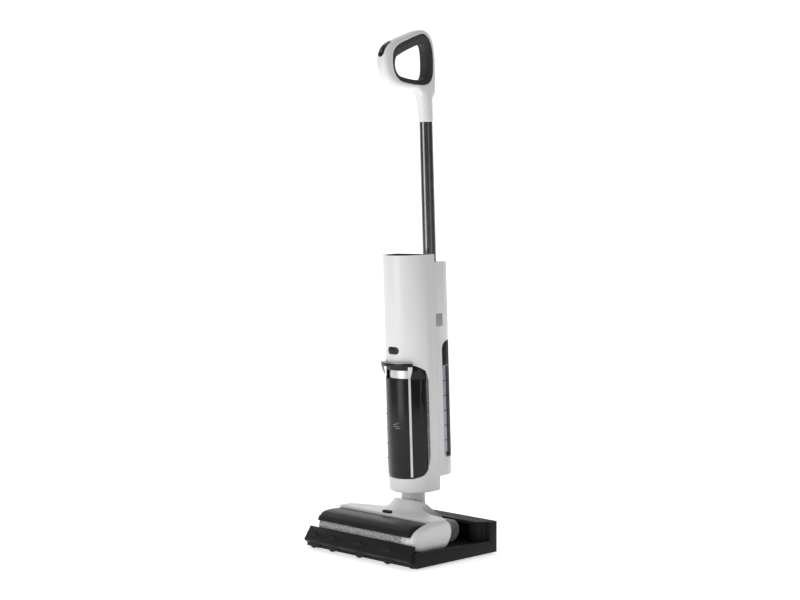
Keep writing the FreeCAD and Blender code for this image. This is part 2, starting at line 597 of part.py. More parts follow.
def casings():
    """The white front and rear casings."""
    wall = DIM["wall"]
    seam = DIM["seam"]
    bottom = DIM["body_bottom"]
    top = DIM["body_top"]
    outer = front_outline(DIM["body_radius"], seam, bottom, top)
    lower_rim = [edge for edge in outer.Edges if edge.BoundBox.ZMax < bottom + 0.01 and edge.BoundBox.YMin < seam - 1]
    outer = outer.makeFillet(7.0, lower_rim)
    inside = front_outline(DIM["body_radius"] - wall, seam + 1, bottom + wall, top + 1)
    shell = outer.cut(inside)
    inner_radius = DIM["body_radius"] - wall
    rim = front_outline(inner_radius, seam, top - 6.6, top)
    rim = rim.cut(front_outline(50.4, seam - 4.6, top - 3.2, top + 1))
    rim = rim.cut(front_outline(47.0, seam - 8, top - 8, top + 1))
    tank_shelf = front_outline(inner_radius, 17.8, DIM["window_bottom"] - 4, DIM["window_bottom"] - 1.2)
    tank_deck = front_outline(inner_radius, seam, DIM["window_top"] + 2, DIM["window_top"] + 4.6)
    back_wall = Part.makeBox(2 * inner_radius, wall, DIM["window_top"] - DIM["window_bottom"] + 6,
                             Vector(-inner_radius, 18.4, DIM["window_bottom"] - 4))
    ends = [Part.makeBox(2 * inner_radius, wall, high - low, Vector(-inner_radius, seam - wall, low))
            for low, high in ((DIM["rear_top"] - wall, top), (bottom, DIM["rear_bottom"] + wall))]
    bosses = [Part.makeCylinder(5.6, 14, Vector(x, seam - 14, z), Y_AXIS) for x, z in BOSSES]
    shell = shell.fuse([rim, tank_shelf, tank_deck, back_wall] + ends + bosses)
    shell = shell.cut(Part.makeCompound([Part.makeCylinder(DIM["screw_radius"], 10, Vector(x, seam - 9, z), Y_AXIS)
                                         for x, z in BOSSES]))
    shell = shell.cut(window_cutter())
    shell = shell.cut(Part.makeCylinder(DIM["neck_radius"] + 0.1, 10, Vector(0, 0, bottom - 1)))
    shell = shell.cut(Part.makeCylinder(12.4, 12, Vector(0, 2, DIM["window_bottom"] - 8)))
    shell = shell.cut(Part.makeCylinder(22, 12, Vector(0, DIM["motor_axis"], DIM["window_top"])))
    shell = shell.cut(button_prism(0.4, -12, 20))
    node("front_casing", shaped(shell.removeSplitter()), LEAN)

    half = DIM["rear_half"]
    corner = DIM["rear_corner"]
    back = DIM["rear_face"]
    low = DIM["rear_bottom"]
    outer = rear_outline(half, seam + 0.3, back, corner, low, DIM["rear_top"])
    inside = rear_outline(half - wall, seam - 1, back - wall, corner - wall, low + wall, DIM["rear_top"] - wall)
    shell = outer.cut(inside)
    bay = Part.makeBox(140, 80, DIM["clean_top"] - DIM["clean_bottom"],
                       Vector(-70, DIM["clean_front"] - 0.4, DIM["clean_bottom"]))
    shell = shell.cut(bay)
    front = DIM["clean_front"] - 3.2
    partition = rear_outline(half - wall / 2, front, front + 2.4, 1.0, DIM["clean_bottom"] - 4,
                             DIM["clean_top"] + 4)
    shelves = [rear_outline(half - wall / 2, front, back - wall / 2, corner - wall / 2, z, z + 2.6)
               for z in (DIM["clean_bottom"] - 3.2, DIM["clean_top"] + 0.6)]
    shell = shell.fuse([partition] + shelves)
    shell = shell.cut(Part.makeCylinder(DIM["tube_radius"] + 0.1, 20, Vector(0, DIM["tube_axis"], DIM["rear_top"] - 9)))
    shell = shell.cut(Part.makeCylinder(6.4, 12, Vector(0, front - 3, DIM["clean_bottom"] + 12), Y_AXIS))
    node("rear_casing", shaped(shell.removeSplitter()), LEAN)


def button_prism(grow, start, depth):
    """The pill of the tank's release button, along the stick frame's Y from the casing's front."""
    width = 31.0 + 2 * grow
    height = 15.0 + 2 * grow
    front = DIM["body_axis"] - DIM["body_radius"] + start
    middle = DIM["button_height"]
    reach = (width - height) / 2
    bar = Part.makeBox(2 * reach, depth, height, Vector(-reach, front, middle - height / 2))
    ends = [Part.makeCylinder(height / 2, depth, Vector(x, front, middle), Y_AXIS) for x in (-reach, reach)]
    return bar.fuse(ends).removeSplitter()


def tank_release():
    """The pill button that frees the dirty water tank."""
    blank = button_prism(0, -3, 14)
    curved = Part.makeCylinder(DIM["body_radius"] + 0.4, 60, Vector(0, DIM["body_axis"], DIM["button_height"] - 30))
    node("tank_release_button", shaped(blank.common(curved)), LEAN)


def dirty_tank():
    """The dirty water tank with its lid, pull visor, trims, filter and riser pipe."""
    wall = DIM["tank_wall"]
    radius = DIM["tank_radius"]
    bottom = DIM["window_bottom"] + 0.6
    top = DIM["lid_bottom"]
    narrow = 51.4
    back = 17.4

    def nose_block(shrink, low, high):
        drum = Part.makeCylinder(radius - shrink, high - low, Vector(0, DIM["body_axis"], low))
        nose = drum.common(Part.makeBox(200, 99.4, high - low, Vector(-100, -100.1, low)))
        middle = Part.makeBox(2 * (narrow - shrink), back - shrink + 8, high - low, Vector(-narrow + shrink, -8, low))
        return nose.fuse(middle).removeSplitter()

    passage = tank_passage(0.5, 0)
    outer = nose_block(0, bottom, top).common(passage)
    inner = nose_block(wall, bottom + wall, top + 1).common(tank_passage(0.5, wall))
    shell = outer.cut(inner)
    floor_hole = Part.makeCylinder(11.0, 10, Vector(0, 2, bottom - 2))
    node("dirty_tank", shaped(shell.cut(floor_hole)), LEAN)

    lid = nose_block(0, top + 0.2, DIM["window_top"] - 2).common(passage)
    lid = lid.cut(nose_block(3, top, DIM["window_top"] - 6).common(tank_passage(0.5, 3)))
    pocket_cut = sector(48, 70, top, 330.5, -38, 38)
    lid = lid.cut(pocket_cut)
    collar = sector(45.0, 48.0, top + 0.2, 331, -44, 44)
    node("dirty_tank_lid", shaped(lid.fuse(collar).removeSplitter()), LEAN)

    outer_radius = DIM["visor_radius"]
    brim = sector(54.4, outer_radius, 343.5, 346.8, -46, 46)
    skirt = sector(outer_radius - 2.6, outer_radius, 331, 345, -46, 46)
    arms = [sector(outer_radius - 2.6, outer_radius, 317, 333, a, b) for a, b in ((-46, -41), (41, 46))]
    struts = [sector(54.4, outer_radius - 1, 317, 345, a, b) for a, b in ((-42.6, -41), (41, 42.6))]
    visor = brim.fuse([skirt] + arms + struts).removeSplitter().common(window_cutter(0.4))
    node("tank_visor", shaped(visor), LEAN)

    strips = [sector(54.3, 55.9, 107, 316.5, a, b) for a, b in ((-41.5, -36.5), (36.5, 41.5))]
    node("tank_trims", shaped(Part.makeCompound(strips)), LEAN)
    node("tank_front_panel", shaped(sector(54.3, 55.1, 109, 311.5, -36.2, 36.2)), LEAN)
    node("tank_filter", ring("22", "9", "11", ("0", "motor_axis - 4", "lid_bottom + 18")), LEAN)
    node("tank_riser_pipe", ring("10.9", "9.4", "186", ("0", "2", "window_bottom + 0.8")), LEAN)


def clean_tank():
    """The clean water tank that forms the lower back of the body."""
    half = DIM["rear_half"]
    corner = DIM["rear_corner"]
    front = DIM["clean_front"]
    back = DIM["rear_face"]
    low = DIM["clean_bottom"] + 0.4
    top = DIM["clean_cap_bottom"]
    wall = 2.0
    outer = rear_outline(half, front, back, corner, low, top)
    inner = rear_outline(half - wall, front + wall, back - wall, corner - wall, low + wall, top + 1)
    shell = outer.cut(inner)
    nozzle = Vector(0, front - 4.4, DIM["clean_bottom"] + 12)
    shell = shell.fuse(Part.makeCylinder(5.9, 8, nozzle, Y_AXIS)).cut(Part.makeCylinder(3.0, 9, nozzle, Y_AXIS))
    node("clean_tank", shaped(shell), LEAN)
    cap = rear_outline(half, front, back, corner, top + 0.2, DIM["clean_top"] - 0.4)
    cap = cap.cut(rear_outline(half - 3, front + 3, back - 3, corner - 3, top, DIM["clean_top"] - 4))
    recess = Part.makeBox(44, 12, 18, Vector(-22, back - 7, top + 18))
    node("clean_tank_cap", shaped(cap.cut(recess)), LEAN)
    node("water_pump", fuse(block("-20", "20", "34", "62", "rear_bottom + 5", "clean_bottom - 6"),
                            rod("4", "10", ("12", "62", "rear_bottom + 16"), "y")), LEAN)


def power_and_air():
    """Suction motor, battery, boards and the display at the top."""
    axis = ("0", "motor_axis")
    motor = fuse(rod("motor_radius", "62", (*axis, "404")), rod("motor_radius - 8", "24", (*axis, "465")),
                 rod("motor_radius - 12", "16", (*axis, "389")))
    node("suction_motor", motor, LEAN)
    node("motor_seal", ring("32", "24", "6", (*axis, "window_top + 5")), LEAN)
    cells_across = [-33, -11, 11, 33]
    pack = [rod("10.5", "70", (str(x), str(y), "397")) for x in cells_across for y in (39.5, 61)]
    node("battery_pack", fuse(block("-44", "44", "29", "40", "396", "468"), *pack), LEAN)
    node("main_board", block("-38", "38", "27", "28.6", "476", "544"), LEAN)
    lens = front_outline(50.0, DIM["seam"] - 5, DIM["body_top"] - 3, DIM["body_top"] - 0.4)
    node("display_lens", shaped(lens), LEAN)
    node("body_screws", screws([(x, DIM["seam"], z) for x, z in BOSSES], 9.0, "y"), LEAN)


# ---------------------------------------------------------------- stick and handle

def stick():
    """The tube and the socket that clamps it in the body."""
    tube = ring("tube_radius", "tube_bore", "tube_top - tube_bottom", ("0", "tube_axis", "tube_bottom"))
    node("stick_tube", tube, LEAN)
    socket = cut(block("-21", "21", "50", "80", "tube_bottom - 4", "rear_top - 5"),
                 rod("tube_radius", "120", ("0", "tube_axis", "tube_bottom")))
    node("tube_socket", socket, LEAN)


LOOP = [(47.2, 900), (40.4, 908), (28.9, 914.4), (4, 916.5), (-24, 920), (-45, 928.5), (-57, 943), (-62, 962),
        (-60, 984), (-50, 1000), (-34, 1010.8), (-12, 1019.4), (18, 1029.6), (44, 1037), (62, 1036), (76, 1026),
        (84, 1006), (87.4, 975), (88, 935), (87.4, 900), (67, 896)]
GRIP_OUTER = [(42, 1027.6), (-7, 1010.5), (-26, 1001.5), (-37, 990), (-40.5, 974), (-39.3, 957), (-33, 941),
              (-20, 930.5), (0, 926), (26, 923.2), (48, 922.6), (64, 927.5), (73.5, 940), (76.8, 962), (76, 990),
              (70, 1012), (58, 1025.5)]
GRIP_HOLE = [(50, 1009.6), (24, 1001.2), (-6, 990), (-25, 981), (-33.5, 968), (-31.5, 952), (-22, 939.5),
             (-4, 935), (26, 931.4), (50, 932), (62, 939.5), (67, 958), (67, 986), (62, 1004)]


def handle():
    """The loop handle: white shell, black grip ring, control panel and two buttons."""
    half = DIM["handle_half"]
    loop = closed_curve_x(LOOP, -half, half)
    rims = [edge for edge in loop.Edges if edge.BoundBox.XLength < 0.01]
    loop = loop.makeFillet(5.0, rims)
    axis = DIM["tube_axis"]
    rings = [Part.Wire(Part.makeCircle(radius, Vector(0, axis - forward, DIM["tube_top"] + rise)))
             for radius, forward, rise in ((14.6, 0, 0), (18.6, 4, 62))]
    neck_part = Part.makeLoft(rings, True)
    shell = loop.fuse(neck_part)
    grip_hole = closed_curve_x(GRIP_OUTER, -half - 5, half + 5)
    shell = shell.cut(grip_hole)
    socket = Part.makeCylinder(DIM["tube_radius"] - 0.4, 40, Vector(0, axis, DIM["tube_top"] - 1))
    shell = shell.cut(socket)
    seat = panel_place()
    depth = 4.0
    pill = pill_solid(DIM["panel_length"] + 0.4, DIM["panel_width"] + 0.4, depth + 12)
    pill.Placement = seat.multiply(Placement(Vector(0, 0, -depth), Rotation()))
    shell = shell.cut(pill)
    node("handle_shell", shaped(shell.removeSplitter()), LEAN)

    grip = closed_curve_x(GRIP_OUTER, -half + 0.4, half - 0.4).cut(closed_curve_x(GRIP_HOLE, -half - 5, half + 5))
    node("handle_grip", shaped(grip), LEAN)

    panel = pill_plate("panel", "panel_length", "panel_width", "3.4")
    for stem, x, radius in (("well", -10.0, "5.7"), ("well", 11.0, "4.7")):
        hole = sketch_on(panel, "XY_Plane", (str(x), "0", "3.4"))
        draw_circle(hole, radius)
        pocket(panel, hole, "3.4")
    panel.Placement = seat.multiply(Placement(Vector(0, 0, -3.6), Rotation()))
    node("control_panel", panel, LEAN)
    for name, x, radius in (("power_button", -10.0, "5.5"), ("mode_button", 11.0, "4.5")):
        button = round_disc(name, radius, "2.2")
        button.Placement = seat.multiply(Placement(Vector(x, 0, -2.0), Rotation()))
        node(name, button, LEAN)


def panel_place():
    """The seat of the control panel on the loop's upper front, its long side up the slope."""
    seat_rise = 2.6
    low = Vector(0, -61.0, 981.0)
    high = Vector(0, -37.0, 1011.0)
    along = (high - low).normalize()
    outward = X_AXIS.cross(along)
    across = outward.cross(along)
    turn = Rotation(along, across, outward, "XYZ")
    return Placement((low + high) * 0.5 + outward * seat_rise, turn)


def pill_solid(length, width, thick):
    """A pill-shaped solid about its own origin."""
    reach = (length - width) / 2
    bar = Part.makeBox(2 * reach, width, thick, Vector(-reach, -width / 2, 0))
    ends = [Part.makeCylinder(width / 2, thick, Vector(x, 0, 0)) for x in (-reach, reach)]
    return bar.fuse(ends).removeSplitter()


# ---------------------------------------------------------------- make, check, write

def build():
    """Makes every sub-part."""
    dock_tray()
    dock_pieces()
    head_chassis()
    head_top_shell()
    side_caps()
    roller_cover()
    roller()
    head_inner()
    wheels()
    neck()
    casings()
    tank_release()
    dirty_tank()
    clean_tank()
    power_and_air()
    stick()
    handle()
    doc.recompute()


def check_and_write():
    """Stops on any failed object or bad shape, then writes one STEP file for each node."""
    for item in doc.Objects:
        if "Invalid" in item.State or "Error" in item.State:
            raise RuntimeError("%s failed: %s" % (item.Name, item.State))
    names = [item.Label for item in nodes]
    if len(set(names)) != len(names):
        raise RuntimeError("two nodes share a name")
    for item in nodes:
        shape = item.Shape
        if shape.isNull() or not shape.isValid() or not shape.Solids:
            raise RuntimeError("%s has a bad shape" % item.Label)
    os.makedirs("parts", exist_ok=True)
    for item in nodes:
        item.Shape.exportStep("parts/%s.step" % item.Label)
    print(len(nodes), "nodes written")


build()
check_and_write()
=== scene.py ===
"""Looks of a wet dry floor scrubber that stands in its charging dock.

Lengths inside the classes are millimetres. Meshes are metres, in the frame of the CAD model.
The stick frame follows the body: X across, "back" away from the roller and "up" along the stick.
"""
import json
import logging
import math
from dataclasses import dataclass, field
from enum import Enum
from typing import Callable, Iterable, Sequence

import bmesh
import bpy
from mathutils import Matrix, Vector

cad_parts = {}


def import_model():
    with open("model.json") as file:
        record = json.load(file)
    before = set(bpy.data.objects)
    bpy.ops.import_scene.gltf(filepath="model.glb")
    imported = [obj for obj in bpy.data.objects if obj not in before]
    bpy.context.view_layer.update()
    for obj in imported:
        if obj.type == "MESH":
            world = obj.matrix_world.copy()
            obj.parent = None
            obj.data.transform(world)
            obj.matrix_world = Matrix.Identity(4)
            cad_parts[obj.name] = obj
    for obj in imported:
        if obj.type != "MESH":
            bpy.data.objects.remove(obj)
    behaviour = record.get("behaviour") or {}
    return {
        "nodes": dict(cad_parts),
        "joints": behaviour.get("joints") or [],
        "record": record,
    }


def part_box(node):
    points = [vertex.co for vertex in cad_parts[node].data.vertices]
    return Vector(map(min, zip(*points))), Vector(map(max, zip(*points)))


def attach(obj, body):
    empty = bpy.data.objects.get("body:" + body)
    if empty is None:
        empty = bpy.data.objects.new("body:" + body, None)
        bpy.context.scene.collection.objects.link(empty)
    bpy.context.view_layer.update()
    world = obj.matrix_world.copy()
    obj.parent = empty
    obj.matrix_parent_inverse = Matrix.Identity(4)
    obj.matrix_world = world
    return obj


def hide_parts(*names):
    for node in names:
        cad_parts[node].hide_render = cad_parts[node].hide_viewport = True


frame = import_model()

LOG = logging.getLogger("floor_scrubber")
MM = 0.001
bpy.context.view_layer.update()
Ring = list[Vector]
Flat = tuple[float, float]


class Body(Enum):
    """The moving bodies of the frame that pieces ride on."""

    DOCK = "dock"
    HEAD = "head"
    ROLLER = "roller"
    WHEEL_RIGHT = "wheel_right"
    WHEEL_LEFT = "wheel_left"
    COVER = "cover"
    LATCH = "latch"
    NECK = "neck"
    BODY = "body"
    RELEASE = "release"
    WASTE_TANK = "waste_tank"
    WATER_TANK = "water_tank"
    POWER_KEY = "power_key"
    MODE_KEY = "mode_key"


class Slot(Enum):
    """The material slots of the record."""

    WHITE = "white_gloss_plastic"
    BLACK_GLOSS = "black_gloss_plastic"
    CHARCOAL = "charcoal_plastic"
    INNER_BLACK = "inner_black_plastic"
    GREY = "grey_plastic"
    LIGHT_GREY = "light_grey_plastic"
    SMOKED = "smoked_clear_plastic"
    CLEAR = "clear_plastic"
    TUBE = "anodised_tube"
    SILVER = "silver_trim"
    RUBBER = "black_rubber"
    TYRE = "grey_rubber"
    FABRIC = "roller_fabric"
    STEEL = "steel"
    GOLD = "gold_contact"
    FOAM = "filter_foam"
    BOARD = "circuit_board"
    CELLS = "battery_wrap"


# ---------------------------------------------------------------- finishes


class Nodes:
    """A short way to lay out a shader tree."""

    def __init__(self, name: str) -> None:
        """Starts a material with one principled shader.

        Args:
            name: The material's name.
        """
        self.material = bpy.data.materials.new(name)
        self.material.use_nodes = True
        self.tree = self.material.node_tree
        self.shader = self.tree.nodes["Principled BSDF"]
        self.place = self.tree.nodes.new("ShaderNodeTexCoord").outputs["Object"]

    def link(self, source: bpy.types.NodeSocket, target: bpy.types.NodeSocket) -> None:
        """Joins two sockets."""
        self.tree.links.new(source, target)

    def stretched(self, scale: Sequence[float]) -> bpy.types.NodeSocket:
        """Object coordinates scaled by axis.

        Args:
            scale: The factor along X, Y and Z.

        Returns:
            The vector socket.
        """
        mapping = self.tree.nodes.new("ShaderNodeMapping")
        mapping.inputs["Scale"].default_value = tuple(scale)
        self.link(self.place, mapping.inputs["Vector"])
        return mapping.outputs["Vector"]

    def noise(self, scale: float, detail: float = 2.0, where: bpy.types.NodeSocket | None = None
              ) -> bpy.types.NodeSocket:
        """A noise pattern.

        Args:
            scale: Blobs per metre.
            detail: Octaves of finer noise.
            where: The coordinates, or None for object coordinates.

        Returns:
            The factor socket.
        """
        texture = self.tree.nodes.new("ShaderNodeTexNoise")
        texture.inputs["Scale"].default_value = scale
        texture.inputs["Detail"].default_value = detail
        self.link(where or self.place, texture.inputs["Vector"])
        return texture.outputs["Fac"]

    def ramp(self, factor: bpy.types.NodeSocket, low: Sequence[float], high: Sequence[float],
             start: float = 0.35, end: float = 0.65) -> bpy.types.NodeSocket:
        """A blend of two colours over a pattern.

        Args:
            factor: The pattern.
            low: The colour at its low end.
            high: The colour at its high end.
            start: Where the blend starts.
            end: Where it ends.

        Returns:
            The colour socket.
        """
        blend = self.tree.nodes.new("ShaderNodeValToRGB")
        blend.color_ramp.elements[0].position = start
        blend.color_ramp.elements[1].position = end
        blend.color_ramp.elements[0].color = (*low[:3], 1.0)
        blend.color_ramp.elements[1].color = (*high[:3], 1.0)
        self.link(factor, blend.inputs["Fac"])
        return blend.outputs["Color"]

    def spread(self, factor: bpy.types.NodeSocket, low: float, high: float) -> bpy.types.NodeSocket:
        """Maps a pattern's middle range to two numbers.

        Args:
            factor: The pattern.
            low: The value at 0.3.
            high: The value at 0.7.

        Returns:
            The number socket.
        """
        mapper = self.tree.nodes.new("ShaderNodeMapRange")
        mapper.inputs["From Min"].default_value = 0.3
        mapper.inputs["From Max"].default_value = 0.7
        mapper.inputs["To Min"].default_value = low
        mapper.inputs["To Max"].default_value = high
        self.link(factor, mapper.inputs["Value"])
        return mapper.outputs["Result"]

    def relief(self, height: bpy.types.NodeSocket, depth: float, strength: float) -> None:
        """Gives the shader a bumpy surface.

        Args:
            height: The pattern.
            depth: The relief's depth in metres.
            strength: How strongly it shows.
        """
        bump = self.tree.nodes.new("ShaderNodeBump")
        bump.inputs["Distance"].default_value = depth
        bump.inputs["Strength"].default_value = strength
        self.link(height, bump.inputs["Height"])
        self.link(bump.outputs["Normal"], self.shader.inputs["Normal"])

    def set(self, **values: float) -> None:
        """Sets shader sockets: an underscore in a name stands for a space."""
        for name, value in values.items():
            self.shader.inputs[name.replace("_", " ")].default_value = value


def shade(colour: Sequence[float], factor: float) -> tuple[float, float, float]:
    """A lighter or darker version of a colour."""
    return tuple(min(1.0, channel * factor) for channel in colour[:3])


@dataclass(frozen=True)
class Plastic:
    """Moulded plastic or rubber with a fine grain and slight unevenness."""

    name: str
    colour: tuple[float, float, float]
    roughness: float
    grain: float = 900.0
    relief: float = 0.12
    depth: float = 0.00008
    mottling: float = 0.03
    coat: float = 0.0
    sheen: float = 0.0
    specular: float = 0.5
    smear: float = 0.12

    def material(self) -> bpy.types.Material:
        """Builds the material."""
        nodes = Nodes(self.name)
        cloud = nodes.noise(14.0, 4.0)
        low, high = shade(self.colour, 1 - self.mottling), shade(self.colour, 1 + self.mottling)
        nodes.link(nodes.ramp(cloud, low, high), nodes.shader.inputs["Base Color"])
        smear = nodes.noise(60.0, 5.0)
        nodes.link(nodes.spread(smear, self.roughness * (1 - self.smear), self.roughness * (1 + self.smear)),
                   nodes.shader.inputs["Roughness"])
        nodes.relief(nodes.noise(self.grain, 3.0), self.depth, self.relief)
        nodes.set(Coat_Weight=self.coat, Coat_Roughness=0.08, Sheen_Weight=self.sheen,
                  Specular_IOR_Level=self.specular)
        return nodes.material


@dataclass(frozen=True)
class ClearPlastic:
    """Transparent moulded plastic with faint flow marks."""

    name: str
    colour: tuple[float, float, float]
    roughness: float
    transmission: float
    specular: float = 0.3

    def material(self) -> bpy.types.Material:
        """Builds the material."""
        nodes = Nodes(self.name)
        flow = nodes.noise(9.0, 3.0, nodes.stretched((1.0, 1.0, 0.25)))
        nodes.link(nodes.ramp(flow, shade(self.colour, 0.9), shade(self.colour, 1.1)),
                   nodes.shader.inputs["Base Color"])
        nodes.link(nodes.spread(nodes.noise(40.0, 4.0), self.roughness * 0.7, self.roughness * 1.3),
                   nodes.shader.inputs["Roughness"])
        nodes.relief(nodes.noise(25.0, 1.0), 0.00004, 0.05)
        nodes.set(Transmission_Weight=self.transmission, IOR=1.49, Specular_IOR_Level=self.specular)
        return nodes.material


@dataclass(frozen=True)
class Metal:
    """Metal with lines drawn along one axis."""

    name: str
    colour: tuple[float, float, float]
    roughness: float
    lines: tuple[float, float, float] = (1.0, 1.0, 0.02)
    line_scale: float = 1600.0
    metallic: float = 1.0

    def material(self) -> bpy.types.Material:
        """Builds the material."""
        nodes = Nodes(self.name)
        drawn = nodes.noise(self.line_scale, 3.0, nodes.stretched(self.lines))
        nodes.link(nodes.ramp(nodes.noise(20.0, 3.0), shade(self.colour, 0.93), shade(self.colour, 1.07)),
                   nodes.shader.inputs["Base Color"])
        nodes.link(nodes.spread(drawn, self.roughness * 0.8, self.roughness * 1.25),
                   nodes.shader.inputs["Roughness"])
        nodes.relief(drawn, 0.00002, 0.12)
        nodes.set(Metallic=self.metallic)
        return nodes.material


@dataclass(frozen=True)
class PileFabric:
    """Short dense pile of mixed fibres."""

    name: str
    dark: tuple[float, float, float]
    light: tuple[float, float, float]

    def material(self) -> bpy.types.Material:
        """Builds the material."""
        nodes = Nodes(self.name)
        fibres = nodes.noise(620.0, 4.0)
        nodes.link(nodes.ramp(fibres, self.dark, self.light, 0.38, 0.6), nodes.shader.inputs["Base Color"])
        nodes.relief(nodes.noise(1500.0, 3.0), 0.0006, 0.5)
        nodes.set(Roughness=0.92, Sheen_Weight=0.35, Sheen_Roughness=0.5)
        return nodes.material


FINISHES = {
    Slot.WHITE: Plastic("white_gloss", (0.80, 0.80, 0.80), 0.38, relief=0.04, mottling=0.008, coat=0.1),
    Slot.BLACK_GLOSS: Plastic("black_gloss", (0.010, 0.010, 0.011), 0.3, relief=0.02, mottling=0.1,
                              specular=0.3, smear=0.04),
    Slot.CHARCOAL: Plastic("charcoal_satin", (0.017, 0.017, 0.018), 0.5, grain=1800.0, relief=0.3,
                           specular=0.12),
    Slot.INNER_BLACK: Plastic("inner_black", (0.012, 0.012, 0.013), 0.5, relief=0.2, mottling=0.08,
                              specular=0.25),
    Slot.GREY: Plastic("grey_moulding", (0.34, 0.34, 0.35), 0.45, relief=0.12),
    Slot.LIGHT_GREY: Plastic("light_grey_moulding", (0.60, 0.60, 0.60), 0.36, relief=0.08, mottling=0.02),
    Slot.SMOKED: ClearPlastic("smoked_clear", (0.008, 0.008, 0.009), 0.12, 0.1),
    Slot.CLEAR: ClearPlastic("violet_clear", (0.66, 0.65, 0.78), 0.12, 0.45),
    Slot.TUBE: Metal("black_anodised", (0.16, 0.16, 0.165), 0.2),
    Slot.SILVER: Metal("satin_silver", (0.62, 0.62, 0.63), 0.3),
    Slot.RUBBER: Plastic("black_rubber", (0.022, 0.022, 0.023), 0.55, grain=1400.0, relief=0.3, sheen=0.05),
    Slot.TYRE: Plastic("grey_rubber", (0.36, 0.36, 0.365), 0.6, grain=1200.0, relief=0.25),
    Slot.FABRIC: PileFabric("grey_pile", (0.10, 0.10, 0.105), (0.58, 0.58, 0.58)),
    Slot.STEEL: Metal("plain_steel", (0.55, 0.55, 0.56), 0.35, lines=(0.05, 1.0, 1.0), line_scale=900.0),
    Slot.GOLD: Metal("plated_contact", (0.8, 0.58, 0.24), 0.25, line_scale=700.0),
    Slot.FOAM: Plastic("filter_medium", (0.62, 0.62, 0.60), 0.9, grain=500.0, relief=0.6, depth=0.0004),
    Slot.BOARD: Plastic("solder_mask", (0.015, 0.12, 0.05), 0.35, grain=300.0, relief=0.15, mottling=0.15),
    Slot.CELLS: Plastic("cell_wrap", (0.03, 0.08, 0.24), 0.4, grain=200.0, relief=0.1, mottling=0.08),
}
DARK_PANEL = Plastic("dark_grey_panel", (0.016, 0.016, 0.017), 0.22, relief=0.01, mottling=0.12,
                     specular=0.22, smear=0.03)
COVER_BLACK = Plastic("cover_black", (0.020, 0.020, 0.021), 0.34, relief=0.02, mottling=0.06, specular=0.12,
                      smear=0.03)
LENS_BLACK = Plastic("matt_display_black", (0.006, 0.006, 0.007), 0.8, relief=0.05, mottling=0.1,
                     specular=0.0)
HAZE_EDGE = Plastic("tank_edge_haze", (0.16, 0.16, 0.18), 0.25, grain=200.0, relief=0.05, mottling=0.3)
VIOLET_EDGE = Plastic("tank_edge_violet", (0.40, 0.39, 0.48), 0.25, grain=200.0, relief=0.05, mottling=0.2)
MARK_GREY = Plastic("mark_grey", (0.42, 0.42, 0.42), 0.4, grain=700.0, relief=0.1, mottling=0.05)
PLATE_GREY = Plastic("plate_grey", (0.36, 0.36, 0.36), 0.35, grain=600.0, relief=0.2, mottling=0.06)
ICON_GREY = Plastic("icon_grey", (0.20, 0.20, 0.21), 0.3, relief=0.05, mottling=0.05)


class Palette:
    """Makes each finish's material once and hands it out."""

    def __init__(self) -> None:
        """Starts with no materials made."""
        self.made: dict[str, bpy.types.Material] = {}

    def get(self, finish: Slot | Plastic | ClearPlastic | Metal | PileFabric) -> bpy.types.Material:
        """The material of a finish or of a slot's finish.

        Args:
            finish: A record slot or a finish.

        Returns:
            The material.
        """
        recipe = FINISHES[finish] if isinstance(finish, Slot) else finish
        if recipe.name not in self.made:
            self.made[recipe.name] = recipe.material()
        return self.made[recipe.name]


PALETTE = Palette()


# ---------------------------------------------------------------- frame and mesh tools


class StickFrame:
    """The leaning frame of the body, read from the swivel joint."""

    def __init__(self, joints: Iterable[dict]) -> None:
        """Reads the swivel's axis and place.

        Args:
            joints: The frame's joints.
        """
        swivel = next(joint for joint in joints if joint["name"] == "neck_swivel")
        self.up = Vector(swivel["axis"]).normalized()
        self.pivot = Vector(swivel["pos_m"])
        self.back = self.up.cross(Vector((1, 0, 0)))

    def point(self, x: float, back: float, up: float) -> Vector:
        """A point given in millimetres across, back and up.

        Args:
            x: Across.
            back: Away from the roller.
            up: Along the stick.

        Returns:
            The place in the model's frame, in metres.
        """
        return self.pivot + Vector((x * MM, 0, 0)) + self.back * (back * MM) + self.up * (up * MM)

    def round(self, radius: float, degrees: float, up: float, axis_back: float = 6.0) -> Vector:
        """A point on a circle about the body's axis; 0 degrees is the front, 90 is +X."""
        angle = math.radians(degrees)
        return self.point(radius * math.sin(angle), axis_back - radius * math.cos(angle), up)


STICK = StickFrame(frame["joints"])


def world(x: float, y: float, z: float) -> Vector:
    """A point given in millimetres in the model's frame."""
    return Vector((x, y, z)) * MM


class Shape:
    """Collects vertices and faces for one mesh."""

    def __init__(self) -> None:
        """Starts empty."""
        self.points: list[Vector] = []
        self.faces: list[tuple[int, ...]] = []

    def loft(self, rings: Sequence[Ring], closed: bool = True, caps: bool = True,
             loop: bool = False) -> "Shape":
        """Joins rings of equal count with quads.

        Args:
            rings: The rings in order.
            closed: Whether each ring closes on itself.
            caps: Whether the first and last ring get a face.
            loop: Whether the last ring joins the first.

        Returns:
            This shape.
        """
        base, count = len(self.points), len(rings[0])
        for ring in rings:
            self.points.extend(ring)
        steps = count if closed else count - 1
        last = len(rings) if loop else len(rings) - 1
        for row in range(last):
            low, high = base + row * count, base + (row + 1) % len(rings) * count
            for i in range(steps):
                j = (i + 1) % count
                self.faces.append((low + i, low + j, high + j, high + i))
        if caps and not loop:
            self.faces.append(tuple(reversed(range(base, base + count))))
            self.faces.append(tuple(range(base + (len(rings) - 1) * count, base + len(rings) * count)))
        return self

    def piece(self, name: str) -> bpy.types.Object:
        """Makes the object, with its faces turned outwards.

        Args:
            name: The piece's name.

        Returns:
            The new object, linked to the scene.
        """
        mesh = bpy.data.meshes.new(name)
        mesh.from_pydata([tuple(point) for point in self.points], [], self.faces)
        tidy_mesh(mesh)
        return linked(name, mesh)


